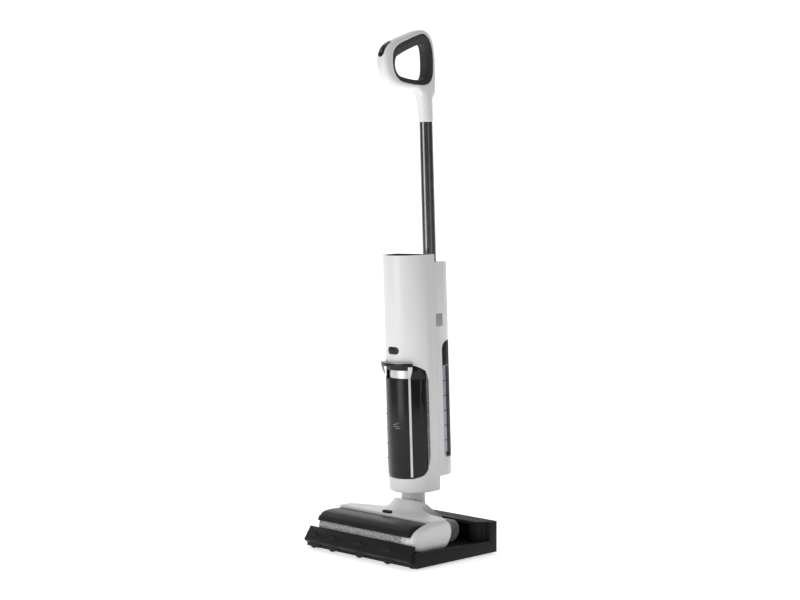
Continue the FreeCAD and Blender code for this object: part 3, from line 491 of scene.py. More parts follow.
def linked(name: str, mesh: bpy.types.Mesh) -> bpy.types.Object:
    """Puts a mesh in the scene as an object."""
    made = bpy.data.objects.new(name, mesh)
    bpy.context.scene.collection.objects.link(made)
    return made


def tidy_mesh(mesh: bpy.types.Mesh, merge: float = 2e-6) -> None:
    """Merges doubles and turns the faces outwards.

    Args:
        mesh: The mesh to change.
        merge: The distance under which points are one.
    """
    work = bmesh.new()
    work.from_mesh(mesh)
    bmesh.ops.remove_doubles(work, verts=work.verts, dist=merge)
    bmesh.ops.recalc_face_normals(work, faces=work.faces)
    work.to_mesh(mesh)
    work.free()


def soften(made: bpy.types.Object, angle: float = 32.0) -> None:
    """Smooth shading with creases kept where faces meet sharply."""
    made.data.shade_smooth()
    made.data.set_sharp_from_angle(angle=math.radians(angle))


def bake_down(made: bpy.types.Object) -> bpy.types.Object:
    """Applies every modifier to the mesh.

    Args:
        made: The object.

    Returns:
        The same object, with a plain mesh.
    """
    bpy.context.view_layer.update()
    result = bpy.data.meshes.new_from_object(made.evaluated_get(bpy.context.evaluated_depsgraph_get()))
    old = made.data
    made.modifiers.clear()
    made.data = result
    result.name = made.name
    bpy.data.meshes.remove(old)
    return made


def bevelled(made: bpy.types.Object, width: float, segments: int = 3,
             angle: float = 32.0) -> bpy.types.Object:
    """Rounds every sharp edge.

    Args:
        made: The object.
        width: The rounding in millimetres.
        segments: The faces across it.
        angle: Edges sharper than this are rounded.

    Returns:
        The same object.
    """
    rounding = made.modifiers.new("rounding", "BEVEL")
    rounding.width = width * MM
    rounding.segments = segments
    rounding.limit_method = "ANGLE"
    rounding.angle_limit = math.radians(angle)
    rounding.miter_outer = "MITER_ARC"
    rounding.use_clamp_overlap = True
    return bake_down(made)


def sculpted(made: bpy.types.Object, voxel: float, passes: int) -> bpy.types.Object:
    """Melts overlapping solids into one smooth skin.

    Args:
        made: Closed solids in one mesh.
        voxel: The grid's size in millimetres.
        passes: The number of smoothing passes.

    Returns:
        The same object.
    """
    grid = made.modifiers.new("grid", "REMESH")
    grid.mode = "VOXEL"
    grid.voxel_size = voxel * MM
    grid.use_smooth_shade = True
    melt = made.modifiers.new("melt", "SMOOTH")
    melt.factor = 0.5
    melt.iterations = passes
    return bake_down(made)


def carved(made: bpy.types.Object, *tools: bpy.types.Object) -> bpy.types.Object:
    """Cuts tools out of a piece and deletes them.

    Args:
        made: The piece.
        tools: Closed solids to cut away.

    Returns:
        The same object.
    """
    for tool in tools:
        cutter = made.modifiers.new("cut", "BOOLEAN")
        cutter.operation = "DIFFERENCE"
        cutter.solver = "EXACT"
        cutter.object = tool
    bake_down(made)
    for tool in tools:
        bpy.data.objects.remove(tool)
    return made


def cad_copy(node: str, name: str) -> bpy.types.Object:
    """A merged copy of a CAD node's mesh, with its flat areas joined.

    Args:
        node: The CAD node.
        name: The new piece's name.

    Returns:
        The new object.
    """
    source = frame["nodes"][node].data
    mesh = bpy.data.meshes.new(name)
    mesh.from_pydata([tuple(vertex.co) for vertex in source.vertices], [],
                     [tuple(face.vertices) for face in source.polygons])
    work = bmesh.new()
    work.from_mesh(mesh)
    bmesh.ops.remove_doubles(work, verts=work.verts, dist=4e-6)
    bmesh.ops.dissolve_limit(work, angle_limit=math.radians(0.6), verts=work.verts, edges=work.edges)
    bmesh.ops.recalc_face_normals(work, faces=work.faces)
    work.to_mesh(mesh)
    work.free()
    return linked(name, mesh)


def dress(made: bpy.types.Object, body: Body, finish: Slot | Plastic | ClearPlastic | Metal | PileFabric,
          slot: Slot, *replaced: str) -> bpy.types.Object:
    """Gives a piece its finish and its body, and hides the CAD nodes that it stands for.

    Args:
        made: The piece.
        body: The body that it rides on.
        finish: What it is dressed with.
        slot: The record's slot; not used.
        replaced: The CAD nodes that it replaces.

    Returns:
        The same object.
    """
    made.data.materials.clear()
    made.data.materials.append(PALETTE.get(finish))
    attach(made, body.value)
    if replaced:
        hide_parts(*replaced)
    LOG.info("%s: %d faces on %s", made.name, len(made.data.polygons), body.value)
    return made


def box_shape(low: Vector, high: Vector) -> Shape:
    """A closed box between two corners in metres."""
    ring = [(low.x, low.y), (high.x, low.y), (high.x, high.y), (low.x, high.y)]
    return Shape().loft([[Vector((x, y, z)) for x, y in ring] for z in (low.z, high.z)])


def prism(outline: Sequence[Flat], start: float, end: float, place: Callable[[float, float, float], Vector]
          ) -> Shape:
    """A solid with one outline all along.

    Args:
        outline: Pairs of numbers.
        start: Where it starts along its length.
        end: Where it ends.
        place: Turns (along, first, second) into a point.

    Returns:
        The shape.
    """
    return Shape().loft([[place(along, a, b) for a, b in outline] for along in (start, end)])


def closed_spline(points: Sequence[Flat], count: int) -> list[Flat]:
    """Evenly spaced points of a smooth closed curve through an outline's points.

    Args:
        points: The outline's corners in order.
        count: How many points to return.

    Returns:
        The points of the curve.
    """
    dense: list[Vector] = []
    size = len(points)
    for i in range(size):
        p0, p1, p2, p3 = (Vector((*points[(i + k - 1) % size], 0)) for k in range(4))
        for step in range(24):
            t = step / 24
            dense.append(0.5 * (2 * p1 + (p2 - p0) * t + (2 * p0 - 5 * p1 + 4 * p2 - p3) * t * t
                                + (3 * p1 - p0 - 3 * p2 + p3) * t ** 3))
    lengths = [0.0]
    for a, b in zip(dense, dense[1:] + dense[:1]):
        lengths.append(lengths[-1] + (b - a).length)
    result: list[Flat] = []
    place = 0
    for step in range(count):
        target = lengths[-1] * step / count
        while lengths[place + 1] < target:
            place += 1
        share = (target - lengths[place]) / max(lengths[place + 1] - lengths[place], 1e-9)
        spot = dense[place].lerp(dense[(place + 1) % len(dense)], share)
        result.append((spot.x, spot.y))
    return result


def turned(profile: Sequence[Flat], centre: Vector, axis: Vector, side: Vector, steps: int = 64,
           closed: bool = True) -> Shape:
    """A solid of revolution.

    Args:
        profile: Pairs of (distance along the axis, radius) in millimetres.
        centre: A point on the axis, in metres.
        axis: The axis.
        side: A direction across it.
        steps: The faces round it.
        closed: Whether the profile's last point joins its first.

    Returns:
        The shape.
    """
    other = axis.cross(side)
    rings = []
    for step in range(steps):
        angle = math.tau * step / steps
        ray = side * math.cos(angle) + other * math.sin(angle)
        rings.append([centre + axis * (along * MM) + ray * (radius * MM) for along, radius in profile])
    return Shape().loft(rings, closed=closed, caps=False, loop=True)


# ---------------------------------------------------------------- geometry node trees


class BarRow:
    """Geometry nodes that set equal bars in a row."""

    def __init__(self) -> None:
        """Builds the tree with named inputs."""
        self.tree = bpy.data.node_groups.new("bar_row", "GeometryNodeTree")
        new = self.tree.interface.new_socket
        self.inputs = {
            "Count": new(name="Count", in_out="INPUT", socket_type="NodeSocketInt"),
            "Step": new(name="Step", in_out="INPUT", socket_type="NodeSocketVector"),
            "Start": new(name="Start", in_out="INPUT", socket_type="NodeSocketVector"),
            "Bar": new(name="Bar", in_out="INPUT", socket_type="NodeSocketVector"),
            "Turn": new(name="Turn", in_out="INPUT", socket_type="NodeSocketRotation"),
            "Material": new(name="Material", in_out="INPUT", socket_type="NodeSocketMaterial"),
        }
        new(name="Geometry", in_out="OUTPUT", socket_type="NodeSocketGeometry")
        add, link = self.tree.nodes.new, self.tree.links.new
        entry, leave = add("NodeGroupInput"), add("NodeGroupOutput")
        line = add("GeometryNodeMeshLine")
        line.mode = "OFFSET"
        link(entry.outputs["Count"], line.inputs["Count"])
        link(entry.outputs["Start"], line.inputs["Start Location"])
        link(entry.outputs["Step"], line.inputs["Offset"])
        bar = add("GeometryNodeMeshCube")
        link(entry.outputs["Bar"], bar.inputs["Size"])
        copies = add("GeometryNodeInstanceOnPoints")
        link(line.outputs["Mesh"], copies.inputs["Points"])
        link(bar.outputs["Mesh"], copies.inputs["Instance"])
        link(entry.outputs["Turn"], copies.inputs["Rotation"])
        real = add("GeometryNodeRealizeInstances")
        link(copies.outputs["Instances"], real.inputs["Geometry"])
        paint = add("GeometryNodeSetMaterial")
        link(real.outputs["Geometry"], paint.inputs["Geometry"])
        link(entry.outputs["Material"], paint.inputs["Material"])
        link(paint.outputs["Geometry"], leave.inputs["Geometry"])

    def make(self, name: str, **values: object) -> bpy.types.Object:
        """Runs the tree and keeps its result as a plain mesh.

        Args:
            name: The piece's name.
            values: The inputs by name.

        Returns:
            The new object.
        """
        made = linked(name, bpy.data.meshes.new(name))
        return run_tree(made, self.tree, self.inputs, values)


class Tufts:
    """Geometry nodes that stand short fibres on a surface."""

    def __init__(self) -> None:
        """Builds the tree with named inputs."""
        self.tree = bpy.data.node_groups.new("tufts", "GeometryNodeTree")
        new = self.tree.interface.new_socket
        new(name="Geometry", in_out="INPUT", socket_type="NodeSocketGeometry")
        self.inputs = {
            "Density": new(name="Density", in_out="INPUT", socket_type="NodeSocketFloat"),
            "Length": new(name="Length", in_out="INPUT", socket_type="NodeSocketFloat"),
            "Thickness": new(name="Thickness", in_out="INPUT", socket_type="NodeSocketFloat"),
            "Seed": new(name="Seed", in_out="INPUT", socket_type="NodeSocketInt"),
            "Material": new(name="Material", in_out="INPUT", socket_type="NodeSocketMaterial"),
        }
        new(name="Geometry", in_out="OUTPUT", socket_type="NodeSocketGeometry")
        add, link = self.tree.nodes.new, self.tree.links.new
        entry, leave = add("NodeGroupInput"), add("NodeGroupOutput")
        spots = add("GeometryNodeDistributePointsOnFaces")
        link(entry.outputs["Geometry"], spots.inputs["Mesh"])
        link(entry.outputs["Density"], spots.inputs["Density"])
        link(entry.outputs["Seed"], spots.inputs["Seed"])
        fibre = add("GeometryNodeMeshCone")
        fibre.inputs["Vertices"].default_value = 4
        link(entry.outputs["Length"], fibre.inputs["Depth"])
        link(entry.outputs["Thickness"], fibre.inputs["Radius Bottom"])
        scatter = add("FunctionNodeRandomValue")
        scatter.data_type = "FLOAT_VECTOR"
        scatter.inputs[0].default_value = (0.7, 0.7, 0.5)
        scatter.inputs[1].default_value = (1.3, 1.3, 1.2)
        link(entry.outputs["Seed"], scatter.inputs["Seed"])
        copies = add("GeometryNodeInstanceOnPoints")
        link(spots.outputs["Points"], copies.inputs["Points"])
        link(spots.outputs["Rotation"], copies.inputs["Rotation"])
        link(fibre.outputs["Mesh"], copies.inputs["Instance"])
        link(scatter.outputs[0], copies.inputs["Scale"])
        both = add("GeometryNodeJoinGeometry")
        link(copies.outputs["Instances"], both.inputs["Geometry"])
        link(entry.outputs["Geometry"], both.inputs["Geometry"])
        real = add("GeometryNodeRealizeInstances")
        link(both.outputs["Geometry"], real.inputs["Geometry"])
        paint = add("GeometryNodeSetMaterial")
        link(real.outputs["Geometry"], paint.inputs["Geometry"])
        link(entry.outputs["Material"], paint.inputs["Material"])
        link(paint.outputs["Geometry"], leave.inputs["Geometry"])

    def grow(self, made: bpy.types.Object, **values: object) -> bpy.types.Object:
        """Covers a piece with fibres.

        Args:
            made: The piece.
            values: The inputs by name.

        Returns:
            The same object.
        """
        return run_tree(made, self.tree, self.inputs, values)


def run_tree(made: bpy.types.Object, tree: bpy.types.NodeTree, inputs: dict,
             values: dict) -> bpy.types.Object:
    """Runs a geometry tree on an object and keeps the result as its mesh.

    Args:
        made: The object.
        tree: The geometry tree.
        inputs: The tree's input sockets by name.
        values: What each input is set to.

    Returns:
        The same object.
    """
    modifier = made.modifiers.new("tree", "NODES")
    modifier.node_group = tree
    for name, value in values.items():
        modifier[inputs[name].identifier] = value
    return bake_down(made)


# ---------------------------------------------------------------- dock


@dataclass
class Dock:
    """The charging dock."""

    edge: float = 1.8

    def build(self) -> None:
        """Makes the tray."""
        tray = bevelled(cad_copy("dock_tray", "dock_shell"), self.edge, 3, 40)
        soften(tray)
        dress(tray, Body.DOCK, Slot.CHARCOAL, Slot.CHARCOAL, "dock_tray")


# ---------------------------------------------------------------- head


@dataclass
class Head:
    """The floor head: shell with its hump, side cap, cover, end tab and wheels."""

    cap_plane: float = 136.4
    seam_gap: float = 0.25
    plan: list[Flat] = field(default_factory=lambda: [
        (-139.6, -40.8), (-139.6, -14), (-128, -3), (-97, 8), (-62, 20), (62, 20), (97, 14), (120, 9),
        (134, 3), (140, -3), (140, -40.8)])
    rim_side: list[Flat] = field(default_factory=lambda: [
        (-20, 111.5), (8, 107.6), (19, 106.0), (34, 101.0), (46, 91.5), (58, 83.5), (86.2, 65.5),
        (86.3, 50), (150, 50), (150, 130),
        (-20, 130)])
    flare: list[Flat] = field(default_factory=lambda: [
        (78, 80.6), (70, 83.0), (61, 86.2), (53, 91.0), (47, 97.4), (42.6, 103.4), (39, 107.8), (36, 109.6),
        (31.5, 109.9), (27.6, 108.2)])

    def shell_skin(self) -> bpy.types.Object:
        """The head's white skin: top plate, hump and bulged right end in one."""
        shape = prism(self.plan, 62.0, 84.0, lambda z, x, y: world(x, y, z))
        made = shape.piece("shell_skin")
        hump = self.hump_ring().piece("hump")
        end = self.cap_solid().piece("cap_solid")
        joined(made, hump, self.cheeks().piece("cheeks"), end)
        return sculpted(made, 1.15, 14)

    def hump_ring(self) -> Shape:
        """The flared hump about the tilt axis, down to the plate."""
        centre = world(0, 46, 0)
        outer = self.flare
        floor = 62.0
        profile = [(z, radius) for radius, z in outer] + [(floor, 27.6), (floor, 78)]
        return turned(profile, centre, Vector((0, 0, 1)), Vector((1, 0, 0)), steps=128)

    def cheeks(self) -> Shape:
        """The hump's straight sides behind the tilt axis."""
        shape = Shape()
        for side in (-1, 1):
            outline = [(radius, z) for radius, z in self.flare if radius > 30]
            outline += [(28.4, 108), (28.4, 62), (78, 62)]
            shape.loft([[world(side * x, y, z) for x, z in outline] for y in (40.0, 88.0)])
        return shape

    def cap_solid(self) -> Shape:
        """The bulged end: outlines that swell and draw in towards the end face."""
        side = closed_spline([(-104, 52), (-101.5, 40), (-94, 30.5), (-78, 25.6), (-44, 25.0), (-14, 25.4),
                              (-2, 31),
                              (7, 44), (11, 58), (8.5, 71), (0, 80.6), (-16, 84.2), (-40, 83.8), (-66, 79.6),
                              (-88, 72), (-99, 63)], 96)
        middle = Vector((-44, 54))
        rings = []
        for x, inset in ((126.0, 0.0), (136.0, 0.0), (140.5, 0.5), (143.6, 1.9), (145.8, 4.2), (147.2, 7.4),
                         (147.8, 12.0), (148.0, 22.0)):
            ring = []
            for y, z in side:
                spoke = Vector((y, z)) - middle
                spoke *= 1 - inset / spoke.length
                ring.append(world(x, middle.x + spoke.x, middle.y + spoke.y))
            rings.append(ring)
        return Shape().loft(rings)

    def build(self) -> None:
        """Makes and dresses the head's pieces."""
        skin = self.shell_skin()
        slope = prism(self.rim_side, -90, 90, world)
        slot = box_shape(world(-27.2, 18.6, 40), world(27.2, 140, 130)).piece("slot")
        sides = [box_shape(world(x0, 22, 40), world(x1, 140, 130)).piece("side")
                 for x0, x1 in ((-90, -46), (46, 90))]
        below = box_shape(world(-125.8, -60, 40), world(125.8, 100, 60.2)).piece("below")
        front = box_shape(world(-160, -130, 40), world(112.8, -40.8, 130)).piece("front")
        seat = box_shape(world(112.7, -130, 66.0), world(136.4, -40.8, 130)).piece("seat")
        rollway = self.rollway().piece("rollway")
        carved(skin, slope.piece("slope"), slot, *sides, below, front, seat, rollway)
        shell, cap = split_at_x(skin, self.cap_plane, self.seam_gap, "head_shell", "right_end_cap")
        for made, node in ((shell, "head_top_shell"), (cap, "side_cap_right")):
            soften(made, 40)
            dress(made, Body.HEAD, Slot.WHITE, Slot.WHITE, node)
        self.cover()
        self.end_tab()
        self.wheels()

    def rollway(self) -> Shape:
        """The round room for the roller inside the right end."""
        low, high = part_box("roller_sleeve")
        centre = (low + high) / 2
        profile = [(0.0, 0.01), (0.0, 28.4), (136.4, 28.4), (136.4, 0.01)]
        return turned(profile, Vector((0, centre.y, centre.z)), Vector((1, 0, 0)), Vector((0, 1, 0)),
                      steps=96)

    def cover(self) -> None:
        """The black lift-off cover: a flat top, a bright sloping band and a steep nose."""
        low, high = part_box("roller_cover")
        left, right = low.x / MM, high.x / MM
        outer = [(-41.4, 66.0), (-41.4, 76.0), (-42.4, 78.6), (-44.6, 79.6), (-70, 80.1), (-84, 79.2),
                 (-90.5, 77.6),
                 (-93.5, 76.2), (-101.5, 71.6), (-104.6, 69.2), (-107.4, 64.8), (-108.8, 60.4)]
        inner = [(-107.2, 60.4), (-102.6, 68.2), (-91, 74.4), (-70, 77.3), (-44.6, 76.8), (-43.8, 66.0)]
        stations = [(left, 9.5), (left + 0.6, 6.6), (left + 2.0, 3.8), (left + 4.6, 1.7), (left + 8.5, 0.4),
                    (left + 13.0, 0.0), (right - 13.0, 0.0), (right - 8.0, 0.3), (right - 4.2, 1.4),
                    (right - 1.6, 3.4), (right - 0.4, 6.2), (right, 9.0)]
        middle = Vector((-72.0, 66.0))
        rings = []
        for x, inset in stations:
            ring = []
            for y, z in outer:
                drop = inset * 0.55 if z > 70 else 0.0
                pull = inset if abs(y - middle.x) > 24 else 0.0
                ring.append(world(x, y + math.copysign(pull, middle.x - y), z - drop))
            for y, z in inner:
                pull = inset if abs(y - middle.x) > 24 else 0.0
                ring.append(world(x, y + math.copysign(pull, middle.x - y), z - inset * 0.55 * (z > 70)))
            rings.append(ring)
        made = Shape().loft(rings).piece("cover_shell")
        bevelled(made, 0.5, 2, 24)
        soften(made, 40)
        dress(made, Body.COVER, COVER_BLACK, Slot.BLACK_GLOSS, "roller_cover")
        self.latch()

    def latch(self) -> None:
        """The black pill that releases the cover, with a raised rim and a shallow dish."""
        low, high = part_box("cover_latch")
        middle = (low + high) / 2 / MM
        outline = rounded_rectangle(middle.x - 12.5, middle.x + 12.5, middle.y - 5.6, middle.y + 5.6, 5.5)
        rings = []
        for z, grow in ((low.z / MM + 0.2, 0.9), (86.6, 1.0), (88.0, 0.97), (88.6, 0.9), (88.3, 0.8),
                        (87.5, 0.72)):
            rings.append([world(middle.x + (x - middle.x) * grow, middle.y + (y - middle.y) * grow, z)
                          for x, y in outline])
        made = Shape().loft(rings).piece("latch_tab")
        soften(made, 40)
        dress(made, Body.LATCH, Slot.BLACK_GLOSS, Slot.BLACK_GLOSS, "cover_latch")

    def end_tab(self) -> None:
        """The white tab at the roller's end, with turned ridges."""
        low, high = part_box("roller_end_tab")
        start, end = 0.8, (high.x - low.x) / MM - 0.1
        profile = [(start, 0.5), (start, 22.6), (start + 0.5, 23.3)]
        ridge = 14.4
        for turn in range(4):
            at = ridge + turn * 2.0
            profile += [(at, 23.3), (at + 0.2, 22.5), (at + 0.9, 22.5), (at + 1.1, 23.3)]
        profile += [(end - 0.5, 23.3), (end, 22.8), (end, 0.5)]
        centre = Vector((low.x, (low.y + high.y) / 2, (low.z + high.z) / 2))
        made = turned(profile, centre, Vector((1, 0, 0)), Vector((0, 1, 0)),
                      steps=96).piece("roller_end_bracket")
        soften(made)
        dress(made, Body.HEAD, Slot.WHITE, Slot.WHITE, "roller_end_tab")

    def wheels(self) -> None:
        """Both rear wheels: a grooved tyre and a dished hub."""
        for side, body in (("right", Body.WHEEL_RIGHT), ("left", Body.WHEEL_LEFT)):
            low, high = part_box("wheel_tyre_" + side)
            width, radius = (high.x - low.x) / MM, (high.z - low.z) / 2 / MM
            centre = Vector((low.x, (low.y + high.y) / 2, (low.z + high.z) / 2))
            tread = [(0.4, radius - 4.9), (0.2, radius - 2.2), (0.9, radius - 0.8), (2.4, radius - 0.05)]
            for groove in (width * 0.3, width * 0.5, width * 0.7):
                tread += [(groove - 0.8, radius - 0.05), (groove - 0.5, radius - 0.9),
                          (groove + 0.5, radius - 0.9),
                          (groove + 0.8, radius - 0.05)]
            tread += [(width - 2.4, radius - 0.05), (width - 0.9, radius - 0.8), (width - 0.2, radius - 2.2),
                      (width - 0.4, radius - 4.9)]
            tyre = turned(tread, centre, Vector((1, 0, 0)), Vector((0, 1, 0)), steps=96).piece("tyre_" + side)
            soften(tyre)
            dress(tyre, body, Slot.TYRE, Slot.TYRE, "wheel_tyre_" + side)
            rim = radius - 4.9
            dish = [(0.3, 4.2), (0.3, 7.6), (1.8, 8.6), (2.2, rim - 3.4), (0.5, rim - 2.4), (0.5, rim),
                    (width - 0.5, rim), (width - 0.5, rim - 2.4), (width - 2.2, rim - 3.4),
                    (width - 1.8, 8.6),
                    (width - 0.3, 7.6), (width - 0.3, 4.2)]
            hub = turned(dish, centre, Vector((1, 0, 0)), Vector((0, 1, 0)), steps=64).piece("hub_" + side)
            soften(hub)
            dress(hub, body, Slot.GREY, Slot.GREY, "wheel_hub_" + side)


def joined(base: bpy.types.Object, *others: bpy.types.Object) -> bpy.types.Object:
    """Puts several objects' meshes into the first one.

    Args:
        base: The object that stays.
        others: The objects that are taken in and removed.

    Returns:
        The first object.
    """
    work = bmesh.new()
    for made in (base, *others):
        work.from_mesh(made.data)
    work.to_mesh(base.data)
    work.free()
    for made in others:
        bpy.data.objects.remove(made)
    return base


def split_at_x(made: bpy.types.Object, plane: float, gap: float, left_name: str, right_name: str
               ) -> tuple[bpy.types.Object, bpy.types.Object]:
    """Parts a piece in two at a plane across X, with a fine gap between them.

    Args:
        made: The piece.
        plane: Where it is cut, in millimetres.
        gap: The seam's width in millimetres.
        left_name: The name of the part below the plane.
        right_name: The name of the part above it.

    Returns:
        The two parts.
    """
    parts = []
    for name, keep_low in ((left_name, True), (right_name, False)):
        work = bmesh.new()
        work.from_mesh(made.data)
        spot = world(plane + (-gap if keep_low else gap) / 2, 0, 0)
        normal = Vector((1, 0, 0)) if keep_low else Vector((-1, 0, 0))
        cut = bmesh.ops.bisect_plane(work, geom=work.verts[:] + work.edges[:] + work.faces[:], plane_co=spot,
                                     plane_no=normal, clear_outer=True)
        rim = [item for item in cut["geom_cut"] if isinstance(item, bmesh.types.BMEdge)]
        bmesh.ops.triangle_fill(work, edges=rim, use_beauty=True)
        bmesh.ops.recalc_face_normals(work, faces=work.faces)
        mesh = bpy.data.meshes.new(name)
        work.to_mesh(mesh)
        work.free()
        parts.append(linked(name, mesh))
    bpy.data.objects.remove(made)
    return parts[0], parts[1]


@dataclass
class Roller:
    """The fabric roller."""

    density: float = 240000.0
    fibre: float = 1.1
    thickness: float = 0.33
    seed: int = 7

    def build(self, tufts: Tufts) -> None:
        """Makes the sleeve and stands its pile on it.

        Args:
            tufts: The geometry tree that grows the pile.
        """
        low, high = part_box("roller_sleeve")
        length, radius = (high.x - low.x) / MM, (high.z - low.z) / 2 / MM
        skin = radius - 0.7
        profile = [(0.2, radius - 4.4), (0.2, skin - 1.2), (0.9, skin - 0.3), (2.2, skin)]
        rows = 40
        profile += [(2.2 + (length - 4.4) * step / rows, skin) for step in range(1, rows)]
        profile += [(length - 2.2, skin), (length - 0.9, skin - 0.3), (length - 0.2, skin - 1.2),
                    (length - 0.2, radius - 4.4)]
        centre = Vector((low.x, (low.y + high.y) / 2, (low.z + high.z) / 2))
        made = turned(profile, centre, Vector((1, 0, 0)), Vector((0, 1, 0)), steps=72).piece("pile_sleeve")
        soften(made)
        tufts.grow(made, Density=self.density, Length=self.fibre * MM * 0.6, Thickness=self.thickness * MM,
                   Seed=self.seed, Material=PALETTE.get(Slot.FABRIC))
        dress(made, Body.ROLLER, Slot.FABRIC, Slot.FABRIC, "roller_sleeve")


# ---------------------------------------------------------------- body


@dataclass
class Casings:
    """The white casings, the display disc, the side plate and the release button."""

    edge: float = 0.9

    def build(self) -> None:
        """Makes and dresses the pieces."""
        for node, name in (("front_casing", "front_shell"), ("rear_casing", "rear_shell")):
            made = bevelled(cad_copy(node, name), self.edge)
            soften(made)
            dress(made, Body.BODY, Slot.WHITE, Slot.WHITE, node)
        for node, name, body, slot in (
                ("swivel_collar", "collar_sleeve", Body.BODY, Slot.LIGHT_GREY),
                ("neck_yoke", "neck_arm", Body.NECK, Slot.LIGHT_GREY)):
            made = bevelled(cad_copy(node, name), 0.5, 2)
            soften(made)
            dress(made, body, slot, slot, node)
        disc = bevelled(cad_copy("display_lens", "display_disc"), 0.4, 2)
        soften(disc)
        dress(disc, Body.BODY, LENS_BLACK, Slot.BLACK_GLOSS, "display_lens")
        self.side_plate()
        self.release_button()
        # Mid-grey strips on the rear casing's sides just behind the seam: painted shade for the shadow that
        # the small step between the casings casts there.
        for side in (-1, 1):
            line = prism([(26.2, 103.5), (27.2, 103.5), (27.2, 550.0), (26.2, 550.0)], side * 53.8,
                         side * 54.12,
                         STICK.point).piece("seam_painted_shade_" + ("right" if side > 0 else "left"))
            soften(line)
            dress(line, Body.BODY, Slot.GREY, Slot.GREY)

    def side_plate(self) -> None:
        """The blank grey plate let into the rear casing's side."""
        corners = rounded_rectangle(27.5, 46.5, 418.0, 445.0, 1.6)
        made = prism(corners, 53.85, 54.25, lambda x, back, up: STICK.point(x, back, up)).piece("side_plate")
        bevelled(made, 0.12, 2)
        soften(made)
        dress(made, Body.BODY, PLATE_GREY, Slot.GREY)

    def release_button(self) -> None:
        """The pill button with a shallow finger dish."""
        made = bevelled(cad_copy("tank_release_button", "release_pill"), 0.7)
        soften(made)
        dress(made, Body.RELEASE, Slot.BLACK_GLOSS, Slot.BLACK_GLOSS, "tank_release_button")


def rounded_rectangle(x0: float, x1: float, y0: float, y1: float, radius: float) -> list[Flat]:
    """A rectangle's outline with round corners."""
    outline = []
    for cx, cy, start in ((x1 - radius, y1 - radius, 0), (x0 + radius, y1 - radius, 90),
                          (x0 + radius, y0 + radius, 180), (x1 - radius, y0 + radius, 270)):
        for step in range(7):
            angle = math.radians(start + 15 * step)
            outline.append((cx + radius * math.cos(angle), cy + radius * math.sin(angle)))
    return outline


def wall_strip(radius: Flat, angles: Flat, heights: Flat, steps: int = 12) -> Shape:
    """A curved plate about the body's axis.

    Args:
        radius: The inner and outer radius.
        angles: Where it starts and ends, in degrees from the front.
        heights: Its bottom and top.
        steps: The faces across it.

    Returns:
        The shape.
    """
    rings = []
    for step in range(steps + 1):
        angle = angles[0] + (angles[1] - angles[0]) * step / steps
        rings.append([STICK.round(r, angle, up) for r, up in
                      ((radius[0], heights[0]), (radius[1], heights[0]), (radius[1], heights[1]),
                       (radius[0], heights[1]))])
    return Shape().loft(rings)


